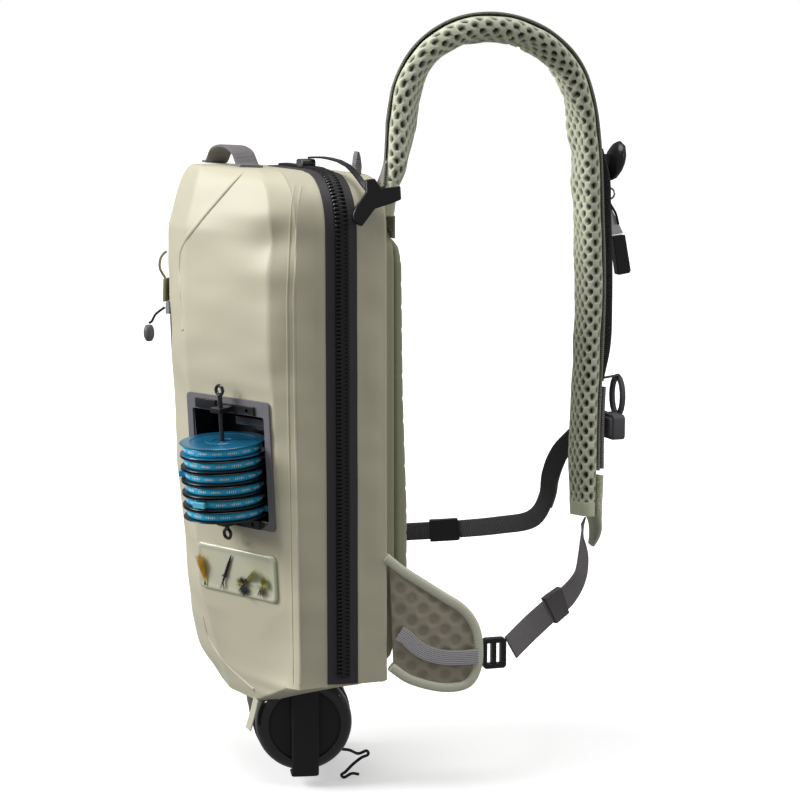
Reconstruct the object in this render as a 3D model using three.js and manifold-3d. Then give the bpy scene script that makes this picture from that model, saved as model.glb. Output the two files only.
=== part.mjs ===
import * as THREE from 'three';
import Module from 'manifold-3d';
import { mergeVertices } from 'three/addons/utils/BufferGeometryUtils.js';

// A waterproof sling bag for fishing tackle, as it sits on the wearer's back.
// Millimetres. X runs to the side with the zip, Y to the wearer, Z up.
// The bag's own frame starts under its rear face; the part's origin is where the strap rests on the shoulder.

// The bag
const bagWidth = 250;
const bagHeight = 450;
const bagDepth = 140;
const fabricWall = 2.2;
const topCornerRadius = 50;
const cornerSlope = 57;
const cornerLift = 23;
const rearLift = 11;
const topFall = 6;
const clearance = 0.3;

// The zip
const zipSetBack = 26;
const tapeWidth = 27;
const tapeEnd = 20;
const chainWidth = 11;
const chainHeight = 2.6;
const pullLength = 34;
const pullThickness = 7;

// The back
const boardWidth = 230;
const boardHeight = 370;
const boardBottom = 34;
const boardThickness = 9.5;
const padWidth = 96;
const padHeight = 322;
const padGap = 24;
const padThickness = 12;
const lumbarThickness = 18;

// The shoulder strap
const strapWidth = 50;
const strapThickness = 18;
const strapReach = 211;
const strapRise = 112;
const plyWidth = 34;
const plyThickness = 1.6;
const toolWebbingWidth = 26;
const toolWebbingStandOff = 5;
const webbingThickness = 1.8;
const sidePlateThickness = 3;

// The waist
const waistWebbingWidth = 17;
const lowerWebbingWidth = 22;
const wingLength = 82;
const wingHeight = 124;
const wingThickness = 9;
const bindingWidth = 8;
const elasticWidth = 13;

// The spool holder and the fly patch on the front
const frameWidth = 98;
const frameHeight = 108;
const frameThickness = 1.5;
const windowWidth = 85;
const windowHeight = 89;
const trayDepth = 30;
const trayWall = 1.5;
const spoolCount = 6;
const spoolRadius = 35.4;
const spoolThickness = 9.8;
const spoolPitch = 10.6;
const grooveRadius = 29.6;
const bandThickness = 2.2;
const tabReach = 4.6;
const rodRadius = 2;
const rodStandOff = 11;
const flyPatchWidth = 94;
const flyPatchHeight = 40;
const flyPatchThickness = 2.2;

// The bottle under the bag
const bottleRadius = 40;
const bottleLength = 100;
const bottleSkew = 14;
const capHeight = 22;
const capBandWidth = 23;
const sleeveWall = 1.8;

const wasm = await Module();
wasm.setup();

const V = (x, y, z) => new THREE.Vector3(x, y, z);
const degrees = THREE.MathUtils.degToRad;
const mix = THREE.MathUtils.lerp;

function material(color, roughness, metalness = 0, opacity = 1) {
  return new THREE.MeshStandardMaterial({ color, roughness, metalness, opacity, transparent: opacity < 1 });
}

const looks = {
  fabric: material(0xcfc9b4, 0.62),
  backFabric: material(0x8a8c72, 0.8),
  tape: material(0x3b383c, 0.7),
  chain: material(0x111114, 0.4),
  metal: material(0xc9ccd0, 0.25, 1),
  blackPlastic: material(0x141416, 0.35),
  greyPlastic: material(0x4d4b50, 0.5),
  strapMesh: material(0xb9bda4, 0.9),
  greyWebbing: material(0x69666a, 0.8),
  darkWebbing: material(0x3a393c, 0.8),
  wingMesh: material(0x7a7266, 0.9),
  binding: material(0xb9bb9f, 0.85),
  frameGrey: material(0x77777b, 0.6),
  bandBlue: material(0x1a86b5, 0.5),
  clearFilm: material(0xd9d8c6, 0.25, 0, 0.6),
  yellowFly: material(0xe8b53a, 0.9),
  darkFly: material(0x24211d, 0.9),
  oliveFly: material(0x5b5634, 0.9),
  blackCord: material(0x202022, 0.8),
  bottleBlack: material(0x232327, 0.3),
};

// Faces out, whatever way a profile or a route was listed
function facingOut(geometry) {
  geometry.deleteAttribute('normal');
  geometry.deleteAttribute('uv');
  const merged = mergeVertices(geometry, 1e-4);
  const place = merged.attributes.position;
  const index = merged.index.array;
  const [a, b, c] = [V(), V(), V()];
  let volume = 0;
  const kept = [];
  for (let i = 0; i < index.length; i += 3) {
    const corners = [index[i], index[i + 1], index[i + 2]];
    if (new Set(corners).size < 3) continue;
    kept.push(corners);
    a.fromBufferAttribute(place, corners[0]);
    b.fromBufferAttribute(place, corners[1]);
    c.fromBufferAttribute(place, corners[2]);
    volume += a.dot(b.cross(c));
  }
  merged.setIndex(kept.flatMap(([p, q, r]) => (volume < 0 ? [p, r, q] : [p, q, r])));
  return merged;
}

function toSolid(geometry) {
  const closed = facingOut(geometry.clone());
  return new wasm.Manifold(new wasm.Mesh({
    numProp: 3,
    vertProperties: new Float32Array(closed.attributes.position.array),
    triVerts: new Uint32Array(closed.index.array),
  }));
}

function fromSolid(solid) {
  const mesh = solid.getMesh();
  const geometry = new THREE.BufferGeometry();
  geometry.setAttribute('position', new THREE.BufferAttribute(new Float32Array(mesh.vertProperties), 3));
  geometry.setIndex(new THREE.BufferAttribute(new Uint32Array(mesh.triVerts), 1));
  return geometry;
}

function cut(body, ...tools) {
  return fromSolid(tools.reduce((solid, tool) => solid.subtract(toSolid(tool)), toSolid(body)));
}

function join(...bodies) {
  return fromSolid(bodies.map(toSolid).reduce((solid, body) => solid.add(body)));
}

function common(a, b) {
  return fromSolid(toSolid(a).intersect(toSolid(b)));
}

// The biggest of the bodies that a cut leaves
function largest(geometry) {
  return fromSolid(toSolid(geometry).decompose().reduce((a, b) => (b.volume() > a.volume() ? b : a)));
}

// A closed solid through rings of points, or a closed hoop of them
function loft(rings, hoop = false) {
  const count = rings[0].length;
  const points = rings.flat();
  const index = [];
  const spans = hoop ? rings.length : rings.length - 1;
  for (let i = 0; i < spans; i += 1) {
    const here = i * count;
    const next = ((i + 1) % rings.length) * count;
    for (let j = 0; j < count; j += 1) {
      const k = (j + 1) % count;
      index.push(here + j, here + k, next + k, here + j, next + k, next + j);
    }
  }
  if (!hoop) {
    const last = (rings.length - 1) * count;
    for (let j = 1; j < count - 1; j += 1) {
      index.push(0, j + 1, j, last, last + j, last + j + 1);
    }
  }
  const geometry = new THREE.BufferGeometry();
  geometry.setAttribute('position', new THREE.Float32BufferAttribute(points.flatMap((p) => p.toArray()), 3));
  geometry.setIndex(index);
  return facingOut(geometry);
}

// Sections of unit size, across by through
const flat = [[-1, -1], [1, -1], [1, 1], [-1, 1]];

function cushion(sides, squareness = 2.6) {
  return Array.from({ length: sides }, (_, i) => {
    const angle = (2 * Math.PI * (i + 0.5)) / sides;
    const round = (value) => Math.sign(value) * Math.abs(value) ** (2 / squareness);
    return [round(Math.cos(angle)), round(Math.sin(angle))];
  });
}

// A strap, pad or webbing: a section carried along rows of { at, face, wide, thick }
function sweep(rows, steps, wide, thick, section = flat, shift = 0) {
  const path = new THREE.CatmullRomCurve3(rows.map((row) => row.at), false, 'centripetal');
  const rings = [];
  for (let i = 0; i <= steps; i += 1) {
    const t = i / steps;
    const spot = t * (rows.length - 1);
    const low = Math.min(Math.floor(spot), rows.length - 2);
    const part = spot - low;
    const [before, after] = [rows[low], rows[low + 1]];
    const share = (name) => mix(before[name] ?? 1, after[name] ?? 1, part);
    const along = path.getTangent(t);
    const face = before.face.clone().lerp(after.face, part);
    face.addScaledVector(along, -face.dot(along)).normalize();
    const across = V().crossVectors(face, along);
    const at = path.getPoint(t).addScaledVector(face, shift);
    rings.push(section.map(([x, y]) => at.clone()
      .addScaledVector(across, (x * share('wide') * wide) / 2)
      .addScaledVector(face, (y * share('thick') * thick) / 2)));
  }
  return loft(rings);
}

// A round cord along points, open or as a closed ring
function cord(points, radius, sides = 8, steps = points.length * 3, closed = false) {
  const path = new THREE.CatmullRomCurve3(points, closed, 'centripetal');
  const section = new THREE.Shape(Array.from({ length: sides }, (_, i) => {
    const angle = (2 * Math.PI * i) / sides;
    return new THREE.Vector2(radius * Math.cos(angle), radius * Math.sin(angle));
  }));
  return facingOut(new THREE.ExtrudeGeometry(section, { steps, extrudePath: path, bevelEnabled: false }));
}

// A turned piece about local Z, from rows of [radius, height] that start and end on the axis or close
function turned(profile, sides) {
  const lathe = new THREE.LatheGeometry(profile.map(([r, z]) => new THREE.Vector2(r, z)), sides);
  return facingOut(lathe.rotateX(Math.PI / 2));
}

// A flat plate in local X and Z, its thickness along local Y from `front` to `back`
function plate(shape, front, back) {
  const slab = new THREE.ExtrudeGeometry(shape, { depth: back - front, bevelEnabled: false, curveSegments: 2 });
  return facingOut(slab.rotateX(Math.PI / 2).translate(0, back, 0));
}

function roundedRectangle(width, height, radius, x = 0, z = 0) {
  const [w, h] = [width / 2, height / 2];
  const shape = new THREE.Shape();
  shape.moveTo(x - w + radius, z - h);
  shape.lineTo(x + w - radius, z - h);
  shape.absarc(x + w - radius, z - h + radius, radius, -Math.PI / 2, 0);
  shape.lineTo(x + w, z + h - radius);
  shape.absarc(x + w - radius, z + h - radius, radius, 0, Math.PI / 2);
  shape.lineTo(x - w + radius, z + h);
  shape.absarc(x - w + radius, z + h - radius, radius, Math.PI / 2, Math.PI);
  shape.lineTo(x - w, z - h + radius);
  shape.absarc(x - w + radius, z - h + radius, radius, Math.PI, 1.5 * Math.PI);
  return shape;
}

function withHole(shape, hole) {
  shape.holes.push(new THREE.Path(hole.getPoints(2).reverse()));
  return shape;
}

function box(width, depth, height, at = V(0, 0, 0)) {
  return facingOut(new THREE.BoxGeometry(width, depth, height).translate(at.x, at.y, at.z));
}

// Local X to `right`, local Z to `up`
function stand(geometry, at, right, up) {
  const z = up.clone().normalize();
  const x = right.clone().addScaledVector(z, -right.dot(z)).normalize();
  const basis = new THREE.Matrix4().makeBasis(x, V().crossVectors(z, x), z);
  return facingOut(geometry.clone().applyMatrix4(basis.setPosition(at)));
}

const bag = new THREE.Group();

function piece(name, geometry, look, group = bag) {
  const mesh = new THREE.Mesh(geometry, look);
  mesh.name = name;
  group.add(mesh);
  return mesh;
}

// Levels of the bag, bottom to top. up: share of the height. lift: share of the rear lift or of the top's fall.
// bevel and crown: how far the front stands out at its two folds, as shares of the depth.
const levels = [
  { up: 0, lift: 1, bevel: 0.655, crown: 0.72 },
  { up: 0.024, lift: 0.64, bevel: 0.645, crown: 0.755 },
  { up: 0.051, lift: 0.27, bevel: 0.6, crown: 0.8 },
  { up: 0.11, lift: 0, bevel: 0.585, crown: 0.86 },
  { up: 0.2, lift: 0, bevel: 0.588, crown: 0.902 },
  { up: 0.66, lift: 0, bevel: 0.686, crown: 1 },
  { up: 0.78, lift: 0, bevel: 0.69, crown: 1 },
  { up: 0.885, lift: 0, bevel: 0.688, crown: 0.98 },
  { up: 0.918, lift: 0.04, bevel: 0.685, crown: 0.955 },
  { up: 0.944, lift: 0.12, bevel: 0.68, crown: 0.93 },
  { up: 0.966, lift: 0.3, bevel: 0.672, crown: 0.91 },
  { up: 0.982, lift: 0.55, bevel: 0.664, crown: 0.896 },
  { up: 0.993, lift: 0.8, bevel: 0.655, crown: 0.885 },
  { up: 1, lift: 1, bevel: 0.64, crown: 0.872 },
];

// Folds round the bag, from the rear corner by the zip to the other rear corner.
// across: share of the half width. out: share of the named stand-out.
const folds = [
  { across: 1, depth: 'rear', out: 0, radius: 3 },
  { across: 0.968, depth: 'seam', out: 1, radius: 8 },
  { across: 0.86, depth: 'bevel', out: 1, radius: 10 },
  { across: 0.128, depth: 'crown', out: 1, radius: 14 },
  { across: -0.384, depth: 'crown', out: 0.97, radius: 16 },
  { across: -0.86, depth: 'bevel', out: 0.98, radius: 14 },
  { across: -0.968, depth: 'seam', out: 1, radius: 10 },
  { across: -1, depth: 'rear', out: 0, radius: 3 },
];
const seamDepth = 0.55;

function halfWidthAt(z) {
  const half = bagWidth / 2;
  const intoCorner = z - (bagHeight - topCornerRadius);
  if (intoCorner > 0) return half - topCornerRadius + Math.sqrt(topCornerRadius ** 2 - intoCorner ** 2);
  if (z < cornerLift) return half - cornerSlope * (1 - z / cornerLift);
  return half;
}

function foldDepth(fold, level) {
  const share = { rear: 0, seam: seamDepth, bevel: level.bevel, crown: level.crown }[fold.depth];
  return -share * fold.out * bagDepth;
}

// A convex outline moved inward, corner by corner
function inset(corners, by) {
  return corners.map((corner, i) => {
    const before = corners[(i + corners.length - 1) % corners.length];
    const after = corners[(i + 1) % corners.length];
    const [a, b] = [corner.clone().sub(before).normalize(), after.clone().sub(corner).normalize()];
    const bisector = V(-a.y - b.y, a.x + b.x, 0);
    return corner.clone().addScaledVector(bisector, (2 * by) / bisector.lengthSq());
  });
}

function roundCorners(corners, radii, steps = 3) {
  return corners.flatMap((corner, i) => {
    const before = corners[(i + corners.length - 1) % corners.length];
    const after = corners[(i + 1) % corners.length];
    const [a, b] = [before.clone().sub(corner), after.clone().sub(corner)];
    const half = a.angleTo(b) / 2;
    const reach = Math.min(radii[i] / Math.tan(half), a.length() * 0.45, b.length() * 0.45);
    const [start, end] = [a.setLength(reach).add(corner), b.setLength(reach).add(corner)];
    const curve = new THREE.QuadraticBezierCurve3(start, corner, end);
    return Array.from({ length: steps }, (_, k) => curve.getPoint(k / (steps - 1)));
  });
}

// The bag's outer form, moved inward by `by` on every side
function bagForm(by = 0) {
  const rings = levels.map((level) => {
    const half = halfWidthAt(level.up * bagHeight);
    const corners = folds.map((fold) => V(fold.across * half, foldDepth(fold, level), 0));
    const outline = roundCorners(inset(corners.reverse(), by), folds.map((fold) => fold.radius).reverse());
    const fall = level.up < 0.5 ? rearLift : -topFall;
    const deepest = level.crown * bagDepth;
    const squeeze = (bagHeight - 2 * by) / bagHeight;
    return outline.map((p) => {
      const height = level.up * bagHeight + level.lift * fall * (1 + p.y / deepest);
      return V(p.x, p.y, bagHeight / 2 + (height - bagHeight / 2) * squeeze);
    });
  });
  return loft(rings);
}

function topAt(y) {
  return bagHeight - topFall * (1 + y / (levels.at(-1).crown * bagDepth));
}

// The flat zone of the front that carries the spool holder: its plane, from the folds at two levels
const [zoneLow, zoneHigh] = [levels[4], levels[5]];
const zoneCorner = (fold, level) => V(
  (fold.across * bagWidth) / 2, foldDepth(fold, level), level.up * bagHeight);
const zoneOuter = zoneCorner(folds[2], zoneHigh);
const zoneInner = zoneCorner(folds[3], zoneHigh);
const zoneRight = zoneOuter.clone().sub(zoneInner).normalize();
const zoneUp = zoneInner.clone().sub(zoneCorner(folds[3], zoneLow)).normalize();
const zoneOut = V().crossVectors(zoneRight, zoneUp).normalize();
zoneUp.crossVectors(zoneOut, zoneRight);
const holderHeight = 0.4644 * bagHeight;
const flyPatchBelow = 0.211 * bagHeight;
const zoneDrop = (zoneInner.z - holderHeight) / zoneUp.z;
const zoneCentre = zoneInner.clone().addScaledVector(zoneRight, zoneInner.distanceTo(zoneOuter) / 2)
  .addScaledVector(zoneUp, -zoneDrop);

// Local X across the zone, local Y into the bag, local Z up
const front = new THREE.Group();
front.applyMatrix4(new THREE.Matrix4()
  .makeBasis(zoneRight, zoneOut.clone().negate(), zoneUp).setPosition(zoneCentre));
front.updateMatrix();
bag.add(front);

// The bottle: local Z along its axis to the cap, local Y up
const capPlace = V(0.6 * (bagWidth / 2), -0.4 * bagDepth, -20);
const capWay = V(Math.cos(degrees(bottleSkew)), -Math.sin(degrees(bottleSkew)), 0);
const bottle = new THREE.Group();
bottle.applyMatrix4(new THREE.Matrix4()
  .makeBasis(V().crossVectors(V(0, 0, 1), capWay), V(0, 0, 1), capWay).setPosition(capPlace));
bottle.updateMatrix();
bag.add(bottle);
const sleeveRadius = bottleRadius + clearance + sleeveWall;
const sleeveBack = -(capHeight + bottleLength);

// Shell: two skins with a slot for the zip, a window for the tray and a hollow along the bottle's sleeve
function bottleHollow(radius, back) {
  const front = bagWidth;
  return turned([[0, back], [radius, back], [radius, front], [0, front]], 28).applyMatrix4(bottle.matrix);
}

function zipBand(margin, width = tapeWidth) {
  const middle = -(zipSetBack + tapeWidth / 2);
  const low = cornerLift + 4 + margin;
  const right = bagWidth;
  const left = -tapeEnd + margin;
  return box(right - left, width - 2 * margin, bagHeight, V((left + right) / 2, middle, low + bagHeight / 2));
}

const trayWidth = windowWidth + 2 * trayWall;
const trayHeight = windowHeight + 2 * trayWall;
const windowLow = -3.5;
const windowCutter = box(trayWidth + 2 * clearance, 8 * fabricWall, trayHeight + 2 * clearance, V(0, 0, windowLow))
  .applyMatrix4(front.matrix);
const outerForm = cut(bagForm(), bottleHollow(sleeveRadius + clearance, sleeveBack - 2));
const innerForm = cut(bagForm(fabricWall), bottleHollow(sleeveRadius + clearance + fabricWall, sleeveBack - 4.5));
piece('bag_shell', cut(outerForm, innerForm, zipBand(0), windowCutter), looks.fabric);

// Zip: the tape fills the slot, the chain stands on its middle
const skin = cut(bagForm(), bagForm(fabricWall));
piece('zip_tape', common(skin, zipBand(clearance)), looks.tape);
const chainSkin = cut(bagForm(-chainHeight), bagForm(-clearance));
piece('zip_chain', common(chainSkin, zipBand(tapeWidth / 2 - chainWidth / 2 + 1.5, tapeWidth + 3)), looks.chain);

const zipMiddle = -(zipSetBack + tapeWidth / 2);
const overChain = topAt(zipMiddle) + chainHeight;
const slider = plate(roundedRectangle(16, 7, 3), -6, 6);
piece('zip_slider', slider.translate(40, zipMiddle, overChain + 3.5 + clearance), looks.metal);

// The pull strap lies over the top corner from the slider to the pull
const overCorner = topCornerRadius + chainHeight + 3;
const pullStrap = [
  { angle: 86, back: 0.1, over: 1.6, away: -36 },
  { angle: 90, back: 0.35, over: 1.8, away: -12 },
  { angle: 66, back: 0.6, over: 1.4, away: 0 },
  { angle: 40, back: 0.85, over: 1.8, away: 0 },
  { angle: 24, back: 1.08, over: 4, away: 0 },
].map((row) => {
  const radius = overCorner + row.over;
  const turn = degrees(row.angle);
  const centre = V(bagWidth / 2 - topCornerRadius + row.away, 0, bagHeight - topCornerRadius);
  const way = V(Math.cos(turn), 0, Math.sin(turn));
  const at = centre.addScaledVector(way, radius).setY(zipMiddle + row.back * zipSetBack);
  return { at, face: way };
});
const pullOutline = new THREE.Shape();
[[-0.5, -0.36], [-0.33, -0.5], [-0.05, -0.1], [0.32, 0.02], [0.5, 0.1], [0.5, 0.42], [0.1, 0.38],
  [-0.02, 0.62], [-0.2, 0.6], [-0.2, 0.3], [-0.42, -0.02], [-0.5, -0.2]]
  .forEach(([x, z], i) => pullOutline[i ? 'lineTo' : 'moveTo'](x * 1.2 * pullLength, z * pullLength));
const pullPlace = V(bagWidth / 2 + pullThickness / 2 + 1, -0.45 * zipSetBack, 0.938 * bagHeight);
function pullBody(grow) {
  const body = plate(pullOutline, -pullThickness / 2 - grow, pullThickness / 2 + grow);
  return stand(body, pullPlace, V(0.1, 1, 0), V(-0.15, 0, 1));
}
piece('zip_pull', pullBody(0), looks.greyPlastic);
piece('zip_pull_strap', largest(cut(sweep(pullStrap, 10, 5, 1.6), pullBody(clearance))), looks.blackPlastic);

// Back: a board on the rear face, with two pads that are thicker at the waist
const boardMiddle = boardBottom + boardHeight / 2;
piece('back_board', plate(roundedRectangle(boardWidth, boardHeight, 28, 0, boardMiddle),
  clearance, clearance + boardThickness), looks.backFabric);

// up: share of the pad's height. thick: share of the way from the upper to the lumbar thickness
const padRows = [
  { up: 0, wide: 0.8, thick: 0.5 },
  { up: 0.02, wide: 0.95, thick: 0.85 },
  { up: 0.06, wide: 1, thick: 1 },
  { up: 0.3, wide: 1, thick: 1 },
  { up: 0.6, wide: 1, thick: 0.3 },
  { up: 0.94, wide: 1, thick: 0 },
  { up: 0.98, wide: 0.95, thick: -0.4 },
  { up: 1, wide: 0.8, thick: -1 },
];
const padBottom = boardBottom + boardHeight - padHeight - 12;
const padBack = boardThickness + 2 * clearance;
const padSide = [[-1, 0], [1, 0], [1, 0.7], [0.9, 0.94], [0.6, 1], [-0.6, 1], [-0.9, 0.94], [-1, 0.7]];
for (const [name, side] of [['back_pad_zip_side', 1], ['back_pad_pocket_side', -1]]) {
  const middle = (side * (padWidth + padGap)) / 2;
  const rings = padRows.map((row) => {
    const thick = padThickness + row.thick * (lumbarThickness - padThickness);
    const z = padBottom + row.up * padHeight;
    return padSide.map(([x, y]) => V(middle + (x * row.wide * padWidth) / 2, padBack + y * thick, z));
  });
  piece(name, loft(rings), looks.backFabric);
}

// Grab handle: a low arch of webbing sewn on the top. across: share of the half width. rise: millimetres share
const handleRise = 15;
const handleY = -0.61 * bagDepth;
const handle = [
  { across: -0.58, rise: 0 },
  { across: -0.5, rise: 0.04 },
  { across: -0.38, rise: 0.72 },
  { across: -0.15, rise: 1 },
  { across: 0.08, rise: 0.72 },
  { across: 0.2, rise: 0.04 },
  { across: 0.28, rise: 0 },
].map((row) => ({
  at: V((row.across * bagWidth) / 2, handleY, topAt(handleY) + 1.9 + row.rise * handleRise),
  face: V(0, 0.05, 1),
}));
piece('grab_handle', sweep(handle, 18, 20, 2.4), looks.greyWebbing);

const loopPlace = V(0.568 * (bagWidth / 2), -6, topAt(-6) + clearance);
const loopRows = [{ up: 0, thick: 1 }, { up: 0.35, thick: 1.25 }, { up: 0.8, thick: 0.8 }, { up: 1, thick: 0.3 }]
  .map((row) => ({ at: loopPlace.clone().add(V(0, 0, row.up * 18)), face: V(0.2, 1, 0), thick: row.thick }));
piece('top_loop', sweep(loopRows, 6, 18, 5, cushion(8)), looks.greyWebbing);

// Strap: rows from the bag's top corner over the shoulder to the chest.
// across: share of the half width. out: share of the reach. up, rise: shares of the bag's height and the strap's rise
const strapRows = [
  { across: 0.8, out: 0.034, up: 0.912, rise: 0, turn: 0, wide: 0.55, thick: 0.5 },
  { across: 0.784, out: 0.05, up: 0.955, rise: 0, turn: 8, wide: 0.78, thick: 0.7 },
  { across: 0.76, out: 0.09, up: 1, rise: 0, turn: 20, wide: 0.95, thick: 0.95 },
  { across: 0.736, out: 0.125, up: 1, rise: 0.3, turn: 36, wide: 1, thick: 1 },
  { across: 0.712, out: 0.155, up: 1, rise: 0.55, turn: 36, wide: 1, thick: 1 },
  { across: 0.69, out: 0.213, up: 1, rise: 0.76, turn: 26, wide: 1, thick: 1.04 },
  { across: 0.66, out: 0.33, up: 1, rise: 0.93, turn: 16, wide: 1, thick: 1.08 },
  { across: 0.64, out: 0.476, up: 1, rise: 1, turn: 10, wide: 1, thick: 1.08 },
  { across: 0.62, out: 0.62, up: 1, rise: 0.985, turn: 4, wide: 1, thick: 1.04 },
  { across: 0.6, out: 0.75, up: 1, rise: 0.9, turn: -2, wide: 1, thick: 1 },
  { across: 0.57, out: 0.87, up: 1, rise: 0.72, turn: -8, wide: 1, thick: 1 },
  { across: 0.56, out: 0.935, up: 1, rise: 0.45, turn: -10, wide: 1, thick: 1 },
  { across: 0.55, out: 0.967, up: 1, rise: 0.1, turn: -10, wide: 1, thick: 1 },
  { across: 0.535, out: 0.984, up: 0.92, rise: 0, turn: -10, wide: 1, thick: 1 },
  { across: 0.53, out: 1, up: 0.77, rise: 0, turn: -10, wide: 1, thick: 0.98 },
  { across: 0.545, out: 0.99, up: 0.62, rise: 0, turn: -10, wide: 1, thick: 0.95 },
  { across: 0.58, out: 0.97, up: 0.51, rise: 0, turn: -10, wide: 1, thick: 0.95 },
  { across: 0.63, out: 0.953, up: 0.41, rise: 0, turn: -8, wide: 1, thick: 0.95 },
  { across: 0.672, out: 0.943, up: 0.32, rise: 0, turn: -6, wide: 0.92, thick: 0.7 },
];

const onWearer = (row) => V(
  (row.across * bagWidth) / 2, row.out * strapReach, row.up * bagHeight + (row.rise ?? 0) * strapRise);
const archMiddle = V(0, 0.5 * strapReach, bagHeight);

// The face away from the shoulder, turned about the strap by `turn`
function outward(at, along, turn) {
  const face = at.clone().sub(archMiddle);
  if (at.z < archMiddle.z) face.z = 0;
  face.x = 0;
  face.addScaledVector(along, -face.dot(along)).normalize();
  return face.applyAxisAngle(along, degrees(-turn));
}

const strapPath = new THREE.CatmullRomCurve3(strapRows.map(onWearer), false, 'centripetal');
const strap = strapRows.map((row, i) => ({
  ...row,
  at: onWearer(row),
  face: outward(onWearer(row), strapPath.getTangent(i / (strapRows.length - 1)), row.turn),
}));
piece('strap_pad', sweep(strap, 42, strapWidth, strapThickness, cushion(10)), looks.strapMesh);

// Rows beside a pad or webbing, `off` its face. from, to: places counted in rows of its table
function beside(rows, from, to, off, count = 6) {
  const path = new THREE.CatmullRomCurve3(rows.map((row) => row.at), false, 'centripetal');
  return Array.from({ length: count }, (_, i) => {
    const spot = mix(from, to, i / (count - 1));
    const low = Math.min(Math.floor(spot), rows.length - 2);
    const [before, after] = [rows[low], rows[low + 1]];
    const along = path.getTangent(spot / (rows.length - 1));
    const face = before.face.clone().lerp(after.face, spot - low);
    face.addScaledVector(along, -face.dot(along)).normalize();
    const thick = mix(before.thick ?? 0, after.thick ?? 0, spot - low) * strapThickness;
    return { at: path.getPoint(spot / (rows.length - 1)).addScaledVector(face, thick / 2 + off), face };
  });
}
const plateStart = 15.45;
const tabStart = 17.12;
const plyOff = clearance + plyThickness / 2 + 0.5;
const plyRows = beside(strap, 1, tabStart - 0.08, plyOff, 34);
piece('strap_outer_ply', sweep(plyRows, 40, plyWidth, plyThickness), looks.greyWebbing);

// Tool webbing: sewn to the ply at both ends and standing off it between them
const toolOff = plyOff + (plyThickness + webbingThickness) / 2 + clearance + 0.2;
const toolRows = beside(strap, 12, plateStart - 0.1, toolOff, 7);
toolRows.slice(1, -1).forEach((row) => row.at.addScaledVector(row.face, toolWebbingStandOff));
piece('tool_webbing', sweep(toolRows, 12, toolWebbingWidth, webbingThickness), looks.darkWebbing);

// Base webbing: from under the foot of the strap down to the back pad
const padTop = boardBottom + boardHeight - 12;
const baseWebbing = [0.908, 0.896, 0.886, (padTop + 3.4) / bagHeight].map((up) => ({
  at: V(0.4 * bagWidth, padBack + webbingThickness / 2 + 0.1, up * bagHeight),
  face: V(0, 1, 0.1),
}));
piece('strap_base_webbing', sweep(baseWebbing, 4, 24, webbingThickness), looks.greyWebbing);

// End tab: goes on from the ply below the pad and narrows to a rounded tip
const tabOff = plyOff + 1.05;
const endTab = [
  ...beside(strap, tabStart, 17.9, tabOff, 3),
  { at: onWearer({ across: 0.682, out: 1.0, up: 0.295 }), wide: 0.8, face: V(0.2, 1, 0.1) },
  { at: onWearer({ across: 0.68, out: 0.995, up: 0.274 }), wide: 0.5, face: V(0.2, 1, 0.2) },
  { at: onWearer({ across: 0.675, out: 0.985, up: 0.259 }), wide: 0.26, face: V(0.2, 1, 0.3) },
];
piece('strap_end_tab', sweep(endTab, 14, strapWidth * 0.94, 3), looks.binding);

// Side plate: stiff webbing along the outer ply, with the buckle's socket on it
const plateOff = plyOff + (plyThickness + sidePlateThickness) / 2 + clearance + 0.5;
const plateRows = beside(strap, plateStart, tabStart - 0.12, plateOff, 5);
piece('side_plate', sweep(plateRows, 10, 34, sidePlateThickness), looks.greyWebbing);

// Oval loop, hung by a short tape from the foot of the tool webbing
const plateTop = plateRows[0];
const ovalHeight = 40;
const ovalWidth = 26;
const ovalWire = 3;
const ovalCentre = plateTop.at.clone().add(V(2, 16.8, -9));
const ovalPoints = Array.from({ length: 14 }, (_, i) => {
  const angle = (2 * Math.PI * i) / 14;
  return ovalCentre.clone().add(V((ovalWidth / 2 - ovalWire) * Math.cos(angle), 0,
    (ovalHeight / 2 - ovalWire) * Math.sin(angle)));
});
const tetherLow = ovalCentre.clone().add(V(0, 0, ovalHeight / 2 - 2));
const tetherTop = toolRows.at(-1).at.clone().add(V(1, 2.5, 2));
const tether = [tetherTop, tetherLow].map((at) => ({ at, face: V(0, 1, 0.6) }));
piece('oval_loop', join(cord(ovalPoints, ovalWire, 6, 16, true), sweep(tether, 1, 12, webbingThickness)),
  looks.greyPlastic);

// Buckle: its length runs across the chest; the socket sits on the side plate, the plug comes from the far side
const buckleHeight = 22;
const buckleDepth = 11;
const buckleRow = plateRows[2];
const buckleAt = buckleRow.at.clone().add(V(8, sidePlateThickness / 2 + clearance + buckleDepth / 2 + 3.2, 3));
const socketLength = 28;
const plugLength = 24;
const socketBody = join(
  plate(roundedRectangle(socketLength, buckleHeight, 4), -buckleDepth / 2, buckleDepth / 2),
  plate(roundedRectangle(socketLength - 9, buckleHeight - 6, 2), -buckleDepth / 2 - 1.6, -buckleDepth / 2 + 1),
);
const socketSlot = box(18, buckleDepth - 4, buckleHeight - 6, V(-socketLength / 2, 0, 0));
piece('buckle_socket', cut(socketBody, socketSlot).translate(...buckleAt.toArray()), looks.greyPlastic);
const plugTongue = box(8, buckleDepth - 4.6, buckleHeight - 6.6, V(plugLength / 2 + 4, 0, 0));
const plugBody = join(plate(roundedRectangle(plugLength, buckleHeight - 2, 4), -4.4, 4.4), plugTongue);
const plugAt = buckleAt.clone().add(V(-(socketLength + plugLength) / 2 - clearance, 0, 0));
piece('buckle_plug', plugBody.translate(...plugAt.toArray()), looks.greyPlastic);

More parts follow.
